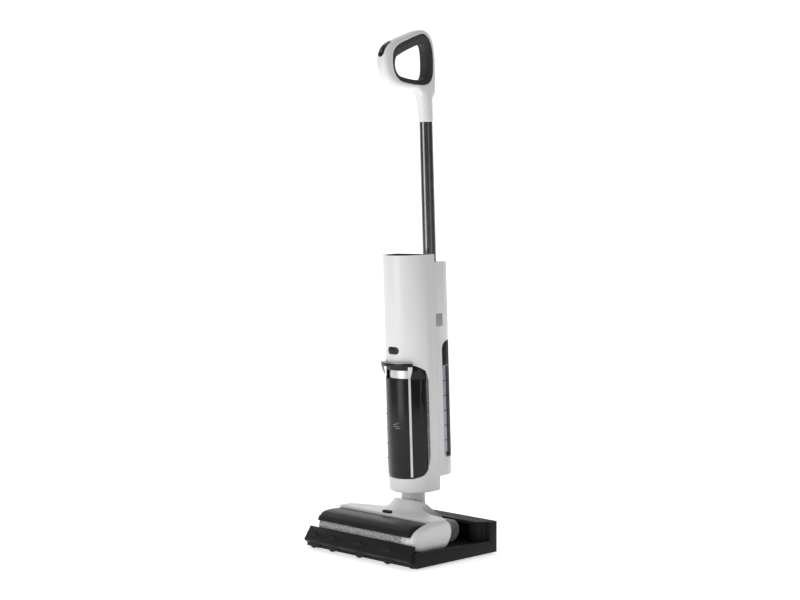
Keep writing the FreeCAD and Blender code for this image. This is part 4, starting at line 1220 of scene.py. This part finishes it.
@dataclass
class DirtyTank:
    """The dirty water tank behind the front window."""

    tick_step: float = 31.5
    tick_low: float = 141.0
    ticks: int = 6

    def build(self, bars: BarRow) -> None:
        """Makes and dresses the pieces.

        Args:
            bars: The geometry tree that sets bars in rows.
        """
        for node, name, slot, edge in (
                ("dirty_tank", "waste_tank_shell", Slot.SMOKED, 0.6),
                ("dirty_tank_lid", "waste_tank_lid", Slot.SMOKED, 0.5)):
            made = bevelled(cad_copy(node, name), edge)
            soften(made)
            dress(made, Body.WASTE_TANK, slot, slot, node)
        collar = wall_strip((48.1, 48.6), (-37.5, 37.5), (313.0, 330.4), 24).piece("lid_collar")
        soften(collar)
        dress(collar, Body.WASTE_TANK, Slot.SILVER, Slot.SILVER)
        panel = bevelled(cad_copy("tank_front_panel", "tank_panel"), 0.3, 2)
        soften(panel)
        dress(panel, Body.WASTE_TANK, DARK_PANEL, Slot.BLACK_GLOSS, "tank_front_panel")
        for side in (-1, 1):
            self.haze(side, bars)
        self.marks(bars)
        self.visor()

    def visor(self) -> None:
        """The curved brim with a bright rim line and a hook at each end."""
        section = [(54.6, 343.9), (62.2, 343.2), (62.6, 339.2), (63.4, 338.6), (64.6, 339.0), (65.0, 340.2),
                   (65.0, 345.4), (64.2, 346.5), (54.6, 346.8)]
        rings = [[STICK.round(radius, -46 + 92 * step / 48, up) for radius, up in section]
                 for step in range(49)]
        made = Shape().loft(rings).piece("pull_visor")
        soften(made, 40)
        dress(made, Body.WASTE_TANK, Slot.BLACK_GLOSS, Slot.BLACK_GLOSS, "tank_visor")
        line = wall_strip((62.6, 64.2), (-46, 46), (346.5, 347.2), 48).piece("visor_line")
        soften(line)
        dress(line, Body.WASTE_TANK, Slot.SILVER, Slot.SILVER)
        for word, start, end, foot_start, foot_end, foot, finish in (
                ("left", -46.2, -40.0, -43.5, -40.0, 319.0, VIOLET_EDGE),
                ("right", 37.5, 46.2, 36.8, 41.2, 314.0, Slot.SILVER)):
            rings = []
            for step in range(17):
                share = step / 16
                ease = math.sin(math.pi / 2 * share)
                outside = 57.4 + 7.4 * ease
                inside = 55.8 + 3.4 * ease
                up = foot + (341.0 - foot) * share
                near, far = foot_start + (start - foot_start) * ease, foot_end + (end - foot_end) * ease
                rings.append([STICK.round(inside, near, up), STICK.round(outside, near, up),
                              STICK.round(outside, far, up), STICK.round(inside, far, up)])
            hook = Shape().loft(rings).piece("visor_hook_" + word)
            bevelled(hook, 0.5, 2)
            soften(hook)
            dress(hook, Body.WASTE_TANK, finish, Slot.SILVER if finish is Slot.SILVER else Slot.CLEAR)

    def haze(self, side: int, bars: BarRow) -> None:
        """The pale edge of the tank with its level ticks on one side."""
        word = "right" if side > 0 else "left"
        strip = wall_strip((54.25, 54.5), (side * 77.0, side * 83.0), (131.0, 322.0),
                           6).piece("tank_edge_" + word)
        soften(strip)
        dress(strip, Body.WASTE_TANK, HAZE_EDGE if side > 0 else VIOLET_EDGE, Slot.CLEAR)
        start = STICK.round(54.6, side * 80.0, self.tick_low)
        made = bars.make("level_ticks_" + word, Count=self.ticks, Step=STICK.up * (self.tick_step * MM),
                         Start=start,
                         Bar=(0.0006, 0.006, 0.0009), Material=PALETTE.get(MARK_GREY))
        dress(made, Body.WASTE_TANK, MARK_GREY, Slot.GREY)

    def marks(self, bars: BarRow) -> None:
        """Short plain lines on the front panel, and the pale left strip with its ticks."""
        shape = Shape()
        for row, (start, end) in enumerate(((1, 15), (-5, 12), (-5, 9), (2, 12))):
            strip = wall_strip((55.05, 55.25), (start, end), (209.0 + 3.6 * row, 209.6 + 3.6 * row), 8)
            shape.loft([strip.points[i:i + 4] for i in range(0, len(strip.points), 4)])
        made = shape.piece("panel_lines")
        soften(made)
        dress(made, Body.WASTE_TANK, MARK_GREY, Slot.GREY)
        pale = wall_strip((55.85, 56.1), (-41.6, -37.6), (118.0, 246.0), 6).piece("pale_strip")
        soften(pale)
        dress(pale, Body.WASTE_TANK, VIOLET_EDGE, Slot.CLEAR)
        ticks = bars.make("pale_strip_ticks", Count=4, Step=STICK.up * (self.tick_step * MM),
                          Start=STICK.round(55.9, -39.6, self.tick_low), Bar=(0.0036, 0.0034, 0.0014),
                          Material=PALETTE.get(Slot.INNER_BLACK))
        dress(ticks, Body.WASTE_TANK, Slot.INNER_BLACK, Slot.INNER_BLACK)


@dataclass
class CleanTank:
    """The clean water tank at the back."""

    def build(self, bars: BarRow) -> None:
        """Makes and dresses the pieces.

        Args:
            bars: The geometry tree that sets bars in rows.
        """
        for node, name, slot in (("clean_tank", "water_tank_shell", Slot.CLEAR),
                                 ("clean_tank_cap", "water_tank_cap", Slot.CHARCOAL)):
            made = bevelled(cad_copy(node, name), 0.8)
            soften(made)
            dress(made, Body.WATER_TANK, slot, slot, node)
        ticks = bars.make("water_ticks", Count=5, Step=STICK.up * 0.0315,
                          Start=STICK.point(54.1, 52.0, 176.0),
                          Bar=(0.0005, 0.017, 0.0014), Material=PALETTE.get(Slot.INNER_BLACK))
        dress(ticks, Body.WATER_TANK, Slot.INNER_BLACK, Slot.INNER_BLACK)
        self.back_band()
        self.corners()

    def back_band(self) -> None:
        """The dark band round the tank's back, a little proud of its skin."""
        outline = []
        for side in (1, -1):
            arc = [math.radians(8 + 82 * step / 16) for step in range(17)]
            row = [(side * (14.0 + 40.15 * math.cos(a)), 46.0 + 40.15 * math.sin(a)) for a in arc]
            outline += row if side > 0 else row[::-1]
        rings = []
        for up in (141.0, 334.0):
            outer = [STICK.point(x, back, up) for x, back in outline]
            inner = [STICK.point(x * 0.992, 46 + (back - 46) * 0.985, up) for x, back in reversed(outline)]
            rings.append(outer + inner)
        made = Shape().loft(rings).piece("water_tank_band")
        soften(made)
        dress(made, Body.WATER_TANK, Slot.INNER_BLACK, Slot.INNER_BLACK)
        valve = turned([(0, 0.1), (0, 5.2), (1.0, 5.2), (1.4, 4.4), (1.0, 3.0), (1.4, 0.1)],
                       STICK.point(53.6, 52.5, 147.0), Vector((1, 0, 0)), Vector((0, 1, 0)), steps=48)
        made = valve.piece("water_valve")
        soften(made)
        dress(made, Body.WATER_TANK, Slot.INNER_BLACK, Slot.INNER_BLACK)

    def corners(self) -> None:
        """White fillers that round the front corners of the tank's bay."""
        for word, up, turn, radius in (("top", 387.2, -1, 17.0), ("bottom", 138.8, 1, 11.0)):
            for side in (-1, 1):
                arc = [math.radians(90 * step / 12) for step in range(13)]
                outline = [(42.5, up)] + [(42.5 + radius * (1 - math.cos(a)),
                                           up + turn * radius * (1 - math.sin(a)))
                                          for a in arc]
                shape = prism(outline, side * 53.9, side * 54.3, STICK.point)
                made = shape.piece("bay_corner_%s_%s" % (word, "right" if side > 0 else "left"))
                soften(made)
                dress(made, Body.BODY, Slot.WHITE, Slot.WHITE)


# ---------------------------------------------------------------- stick and handle


@dataclass
class Tube:
    """The stick tube."""

    def build(self) -> None:
        """Makes the tube as a fine turned skin."""
        bottom, top, radius, bore = 482.0, 846.0, 14.0, 12.6
        profile = [(bottom, bore), (bottom, radius), (top, radius), (top, bore)]
        centre = STICK.point(0, 68.0, 0)
        made = turned(profile, centre, STICK.up, Vector((1, 0, 0)), steps=96).piece("tube_skin")
        soften(made)
        dress(made, Body.BODY, Slot.TUBE, Slot.TUBE, "stick_tube")


@dataclass
class Handle:
    """The loop handle with its grip ring and control pill."""

    half: float = 17.0
    fullness: float = 3.0
    count: int = 200
    loop: list[Flat] = field(default_factory=lambda: [
        (47.2, 900), (40.4, 908), (28.9, 914.4), (4, 916.5), (-24, 920), (-45, 928.5), (-57, 943), (-62, 962),
        (-60, 984), (-50, 1000), (-34, 1010.8), (-12, 1019.4), (18, 1029.6), (44, 1037), (62, 1036),
        (76, 1026),
        (84, 1006), (87.4, 975), (88, 935), (87.4, 900), (67, 896)])
    grip_outer: list[Flat] = field(default_factory=lambda: [
        (42, 1027.6), (-7, 1010.5), (-26, 1001.5), (-37, 990), (-40.5, 974), (-39.3, 957), (-33, 941),
        (-20, 930.5), (0, 926), (26, 923.2), (48, 922.6), (64, 927.5), (73.5, 940), (76.8, 962), (76, 990),
        (70, 1012), (58, 1025.5)])
    grip_hole: list[Flat] = field(default_factory=lambda: [
        (50, 1009.6), (24, 1001.2), (-6, 989.5), (-23, 980), (-29.0, 967), (-27.5, 953), (-19, 942.5),
        (-2, 937.5), (26, 933.8), (50, 934), (61, 940.5), (65, 958), (65, 986), (61, 1003)])
    centre: Flat = (18.0, 972.0)

    def by_angle(self, points: Sequence[Flat]) -> list[Flat]:
        """An outline sampled at equal angles about the loop's centre.

        Args:
            points: The outline's corners.

        Returns:
            One point for each angle.
        """
        dense = closed_spline(points, 720)
        polar = sorted((math.atan2(w - self.centre[1], v - self.centre[0]), v, w) for v, w in dense)
        samples = []
        place = 0
        for step in range(self.count):
            angle = -math.pi + math.tau * step / self.count
            while place < len(polar) - 1 and polar[place][0] < angle:
                place += 1
            low, high = polar[place - 1], polar[place]
            span = (high[0] - low[0]) % math.tau
            share = ((angle - low[0]) % math.tau) / span if span > 1e-9 else 0.0
            samples.append((low[1] + (high[1] - low[1]) * share, low[2] + (high[2] - low[2]) * share))
        return samples

    def loop_solid(self) -> Shape:
        """The white loop between its outline and the grip ring."""
        outer, inner = self.by_angle(self.loop), self.by_angle(self.grip_outer)
        rings = []
        for (ov, ow), (gv, gw) in zip(outer, inner):
            ring = []
            for step in range(-14, 15):
                height = math.sin(math.pi / 2 * step / 14)
                share = max(0.0, 1 - abs(height) ** self.fullness) ** (1 / self.fullness)
                share = 0.06 + 0.94 * share
                ring.append(STICK.point(height * self.half, gv + (ov - gv) * share, gw + (ow - gw) * share))
            ring.append(STICK.point(self.half, gv, gw))
            ring.append(STICK.point(-self.half, gv, gw))
            rings.append(ring)
        return Shape().loft(rings, caps=False, loop=True)

    def neck_solid(self) -> Shape:
        """The neck that runs down over the tube."""
        stations = [(846.0, 68.0, 15.0), (848.0, 68.0, 15.3), (864.0, 67.0, 15.9), (881.0, 65.7, 17.0),
                    (896.0, 64.6, 18.4), (906.0, 63.6, 20.0), (914.0, 62.4, 22.0), (921.0, 61.0, 23.6)]
        rings = []
        for up, back, radius in stations:
            width = min(radius, 17.4)
            rings.append([STICK.point(width * math.cos(a), back + radius * math.sin(a), up)
                          for a in (math.tau * i / 72 for i in range(72))])
        return Shape().loft(rings)

    def build(self) -> None:
        """Makes and dresses the pieces."""
        made = self.loop_solid().piece("handle_skin")
        joined(made, self.neck_solid().piece("neck_solid"))
        sculpted(made, 1.0, 16)
        hollow = prism(closed_spline(self.grip_outer, 160), -30, 30, STICK.point).piece("hollow")
        bore = turned([(840.0, 0.01), (840.0, 14.1), (884.0, 14.1), (884.0, 0.01)], STICK.point(0, 68, 0),
                      STICK.up,
                      Vector((1, 0, 0)), steps=72).piece("bore")
        carved(made, hollow, bore)
        soften(made, 40)
        dress(made, Body.BODY, Slot.WHITE, Slot.WHITE, "handle_shell")
        self.grip()
        self.controls()

    def grip(self) -> None:
        """The black ring that lines the loop, with fine diagonal ribs on its upper front."""
        outer, hole = self.by_angle(self.grip_outer), self.by_angle(self.grip_hole)
        half = self.half - 0.35
        rings = []
        for (ov, ow), (hv, hw) in zip(outer, hole):
            ring = []
            for step in range(-14, 15):
                height = math.sin(math.pi / 2 * step / 14)
                share = (1 - abs(height) ** 5.0) ** (1 / 1.6)
                share = 0.04 + 0.96 * share
                ring.append(STICK.point(height * half, ov + (hv - ov) * share, ow + (hw - ow) * share))
            ring.append(STICK.point(half, ov, ow))
            ring.append(STICK.point(-half, ov, ow))
            rings.append(ring)
        made = Shape().loft(rings, caps=False, loop=True).piece("grip_ring")
        soften(made, 50)
        dress(made, Body.BODY, Slot.RUBBER, Slot.RUBBER, "handle_grip")
        self.ribs()

    def ribs(self) -> None:
        """Fine diagonal ribs on the ring's upper front inside."""
        lowest, front, back = 976, -30, 56
        path = closed_spline(self.grip_hole, 400)
        upper = [spot for spot in path if spot[1] > lowest and front < spot[0] < back]
        upper.sort()
        shape = Shape()
        rib, reach = 0.45, 12.5
        steps, slant, pitch = 8, 12, 5
        for first in range(0, len(upper) - slant - 2, pitch):
            rings = []
            for step in range(steps + 1):
                x = -reach + 2 * reach * step / steps
                at = min(len(upper) - 2, first + round(slant * step / steps))
                v, w = upper[at]
                ahead = Vector(upper[at + 1]) - Vector(upper[at])
                along = ahead.normalized() if ahead.length > 1e-6 else Vector((1, 0))
                out = Vector((along.y, -along.x))
                if out.y > 0:
                    out = -out
                rings.append([STICK.point(x, v + along.x * a + out.x * b, w + along.y * a + out.y * b)
                              for a, b in ((-rib, -0.3), (rib, -0.3), (rib * 0.5, rib), (-rib * 0.5, rib))])
            shape.loft(rings)
        made = shape.piece("grip_ribs")
        soften(made)
        dress(made, Body.BODY, Slot.RUBBER, Slot.RUBBER)

    def surface(self, along: float, x: float, lift: float) -> Vector:
        """A point of the loop's upper front face, by distance along the panel's chord.

        Args:
            along: The distance from the panel's middle, up the slope.
            x: Across.
            lift: How far above the white face.

        Returns:
            The place in metres.
        """
        low, high = Vector((-61.0, 981.0)), Vector((-37.0, 1011.0))
        chord = (high - low).normalized()
        out = Vector((-chord.y, chord.x))
        spot = (low + high) / 2 + chord * along
        outer = closed_spline(self.loop, 720)
        best = max((p for p in outer if abs((Vector(p) - spot).dot(chord)) < 0.8),
                   key=lambda p: (Vector(p) - spot).dot(out))
        crown = (Vector(best) - spot).dot(out)
        drop = 22.0 * (1 - (max(0.0, 1 - (abs(x) / self.half) ** self.fullness)) ** (1 / self.fullness))
        top = spot + out * (crown - drop + lift)
        return STICK.point(x, top.x, top.y)

    def pill(self, name: str, length: float, width: float, middle: float, low: float, high: float
             ) -> bpy.types.Object:
        """A pill-shaped plate that follows the loop's face.

        Args:
            name: The piece's name.
            length: Its length.
            width: Its width.
            middle: Where its middle is along the panel.
            low: Its underside above the white face.
            high: Its top above the white face.

        Returns:
            The new object.
        """
        reach = (length - width) / 2
        grid = []
        for row in range(33):
            angle = math.pi * row / 32
            along = -math.cos(angle)
            at = along * length / 2
            past = max(0.0, abs(at) - reach)
            half = math.sqrt(max(0.0, (width / 2) ** 2 - past ** 2))
            half = max(half, 0.05)
            grid.append([(middle + at, half * math.sin(math.pi / 2 * (col / 8 - 1))) for col in range(17)])
        rings = []
        for row in grid:
            edge = min(1.0, min(row[0][0] - middle + length / 2, length / 2 - row[0][0] + middle) / 0.8)
            top = [self.surface(a, x, high - 0.5 * (1 - edge) - 0.35 * (abs(x) > abs(row[0][1]) - 0.4))
                   for a, x in row]
            under = [self.surface(a, x, low) for a, x in reversed(row)]
            rings.append(top + under)
        made = Shape().loft(rings).piece(name)
        soften(made, 40)
        return made

    def disc(self, name: str, middle: float, outer: float, inner: float, low: float, high: float
             ) -> bpy.types.Object:
        """A round button or ring that follows the loop's face."""
        rings = []
        for step in range(48):
            angle = math.tau * step / 48
            ray = [(inner, low), (outer, low), (outer, high - 0.25), (outer - 0.3, high), (inner + 0.2, high),
                   (inner, high - 0.15)]
            rings.append([self.surface(middle + r * math.cos(angle), r * math.sin(angle), lift)
                          for r, lift in ray])
        made = Shape().loft(rings, caps=False, loop=True).piece(name)
        soften(made, 40)
        return made

    def controls(self) -> None:
        """The black pill with its two buttons."""
        panel = self.pill("control_pill", 43.0, 16.6, 0.0, -2.0, 0.55)
        dress(panel, Body.BODY, Slot.BLACK_GLOSS, Slot.BLACK_GLOSS, "control_panel")
        key = self.disc("power_key_cap", -10.0, 5.4, 0.05, 0.4, 0.9)
        dress(key, Body.POWER_KEY, Slot.BLACK_GLOSS, Slot.BLACK_GLOSS, "power_button")
        icon = self.disc("power_ring", -10.0, 3.3, 2.1, 0.8, 1.0)
        dress(icon, Body.POWER_KEY, ICON_GREY, Slot.GREY)
        key = self.disc("mode_key_cap", 11.0, 4.4, 0.05, 0.4, 0.85)
        dress(key, Body.MODE_KEY, ICON_GREY, Slot.BLACK_GLOSS, "mode_button")


# ---------------------------------------------------------------- studio


@dataclass
class Studio:
    """Camera, lights, floor and surroundings."""

    place: tuple[float, float, float] = (2.3151, -2.2841, 0.6894)
    heading: float = 45.34
    pitch: float = 2.8616
    lens: float = 70.2
    floor_near: float = -6.0
    floor_reach: float = 2.4
    sweep_radius: float = 1.2
    wall_top: float = 5.0
    half_width: float = 7.0
    floor_drop: float = 0.0004
    floor_glow: float = 0.62
    surround_strength: float = 0.2

    def camera(self) -> None:
        """The viewing camera."""
        data = bpy.data.cameras.new("viewer")
        data.lens = self.lens
        data.sensor_width = 36.0
        data.clip_end = 60.0
        viewer = bpy.data.objects.new("viewer", data)
        viewer.location = self.place
        viewer.rotation_euler = (math.radians(90 - self.pitch), 0, math.radians(self.heading))
        bpy.context.scene.collection.objects.link(viewer)
        bpy.context.scene.camera = viewer

    def light(self, name: str, spot: Vector, aim: Vector, size: Flat, power: float) -> None:
        """A soft rectangular light.

        Args:
            name: Its name.
            spot: Where it is.
            aim: What it points at.
            size: Its width and height in metres.
            power: Its power in watts.
        """
        data = bpy.data.lights.new(name, "AREA")
        data.shape = "RECTANGLE"
        data.size, data.size_y = size
        data.energy = power
        lamp = bpy.data.objects.new(name, data)
        lamp.location = spot
        lamp.rotation_euler = (aim - spot).to_track_quat("-Z", "Y").to_euler()
        bpy.context.scene.collection.objects.link(lamp)

    def floor(self) -> None:
        """A pale floor that sweeps up behind the object."""
        heading = math.radians(self.heading)
        away = Vector((-math.sin(heading), math.cos(heading), 0))
        side = Vector((math.cos(heading), math.sin(heading), 0))
        reach, radius = self.floor_reach, self.sweep_radius
        profile = [(self.floor_near, 0.0), (reach, 0.0)]
        profile += [(reach + radius * math.sin(a), radius - radius * math.cos(a)) for a in
                    (math.pi / 2 * step / 16 for step in range(1, 17))]
        profile.append((reach + radius, self.wall_top))
        rings = [[away * d + side * s + Vector((0, 0, z - self.floor_drop)) for d, z in profile]
                 for s in (-self.half_width, self.half_width)]
        made = Shape().loft(rings, closed=False, caps=False).piece("floor_sweep")
        made.data.shade_smooth()
        nodes = Nodes("pale_floor")
        nodes.link(nodes.ramp(nodes.noise(3.0, 2.0), (0.93, 0.93, 0.93), (0.95, 0.95, 0.95)),
                   nodes.shader.inputs["Base Color"])
        nodes.set(Roughness=0.8)
        nodes.shader.inputs["Specular IOR Level"].default_value = 0.1
        nodes.shader.inputs["Emission Color"].default_value = (1, 1, 1, 1)
        nodes.shader.inputs["Emission Strength"].default_value = self.floor_glow
        made.data.materials.append(nodes.material)

    def build(self) -> None:
        """Sets up everything round the object."""
        self.camera()
        self.floor()
        surround = bpy.data.worlds.new("surround")
        surround.use_nodes = True
        back = surround.node_tree.nodes["Background"]
        back.inputs["Color"].default_value = (1, 1, 1, 1)
        back.inputs["Strength"].default_value = self.surround_strength
        bpy.context.scene.world = surround
        bpy.context.scene.view_settings.view_transform = "Standard"
        target = Vector((0, 0, 0.5))
        self.light("key", Vector((-0.5, -2.7, 0.8)), target, (1.2, 2.6), 35.0)
        self.light("fill", Vector((2.9, -0.3, 1.2)), target, (0.6, 2.4), 4.0)
        self.light("top", Vector((0.0, 0.0, 3.2)), target, (2.4, 2.4), 14.0)


def paint_frame() -> None:
    """Gives every CAD node the finish of its slot."""
    slots = {row["node"]: Slot(row["material_slot"]) for row in frame["record"]["subparts"]}
    for node, made in frame["nodes"].items():
        made.data.materials.clear()
        made.data.materials.append(PALETTE.get(slots[node]))
    LOG.info("%d CAD nodes dressed", len(slots))


def main() -> None:
    """Builds the looks in order."""
    logging.basicConfig(level=logging.INFO, format="%(name)s %(message)s")
    paint_frame()
    bars, tufts = BarRow(), Tufts()
    Dock().build()
    Head().build()
    Roller().build(tufts)
    Casings().build()
    DirtyTank().build(bars)
    CleanTank().build(bars)
    Tube().build()
    Handle().build()
    Studio().build()
    bpy.context.view_layer.update()


if __name__ == "__main__":
    main()
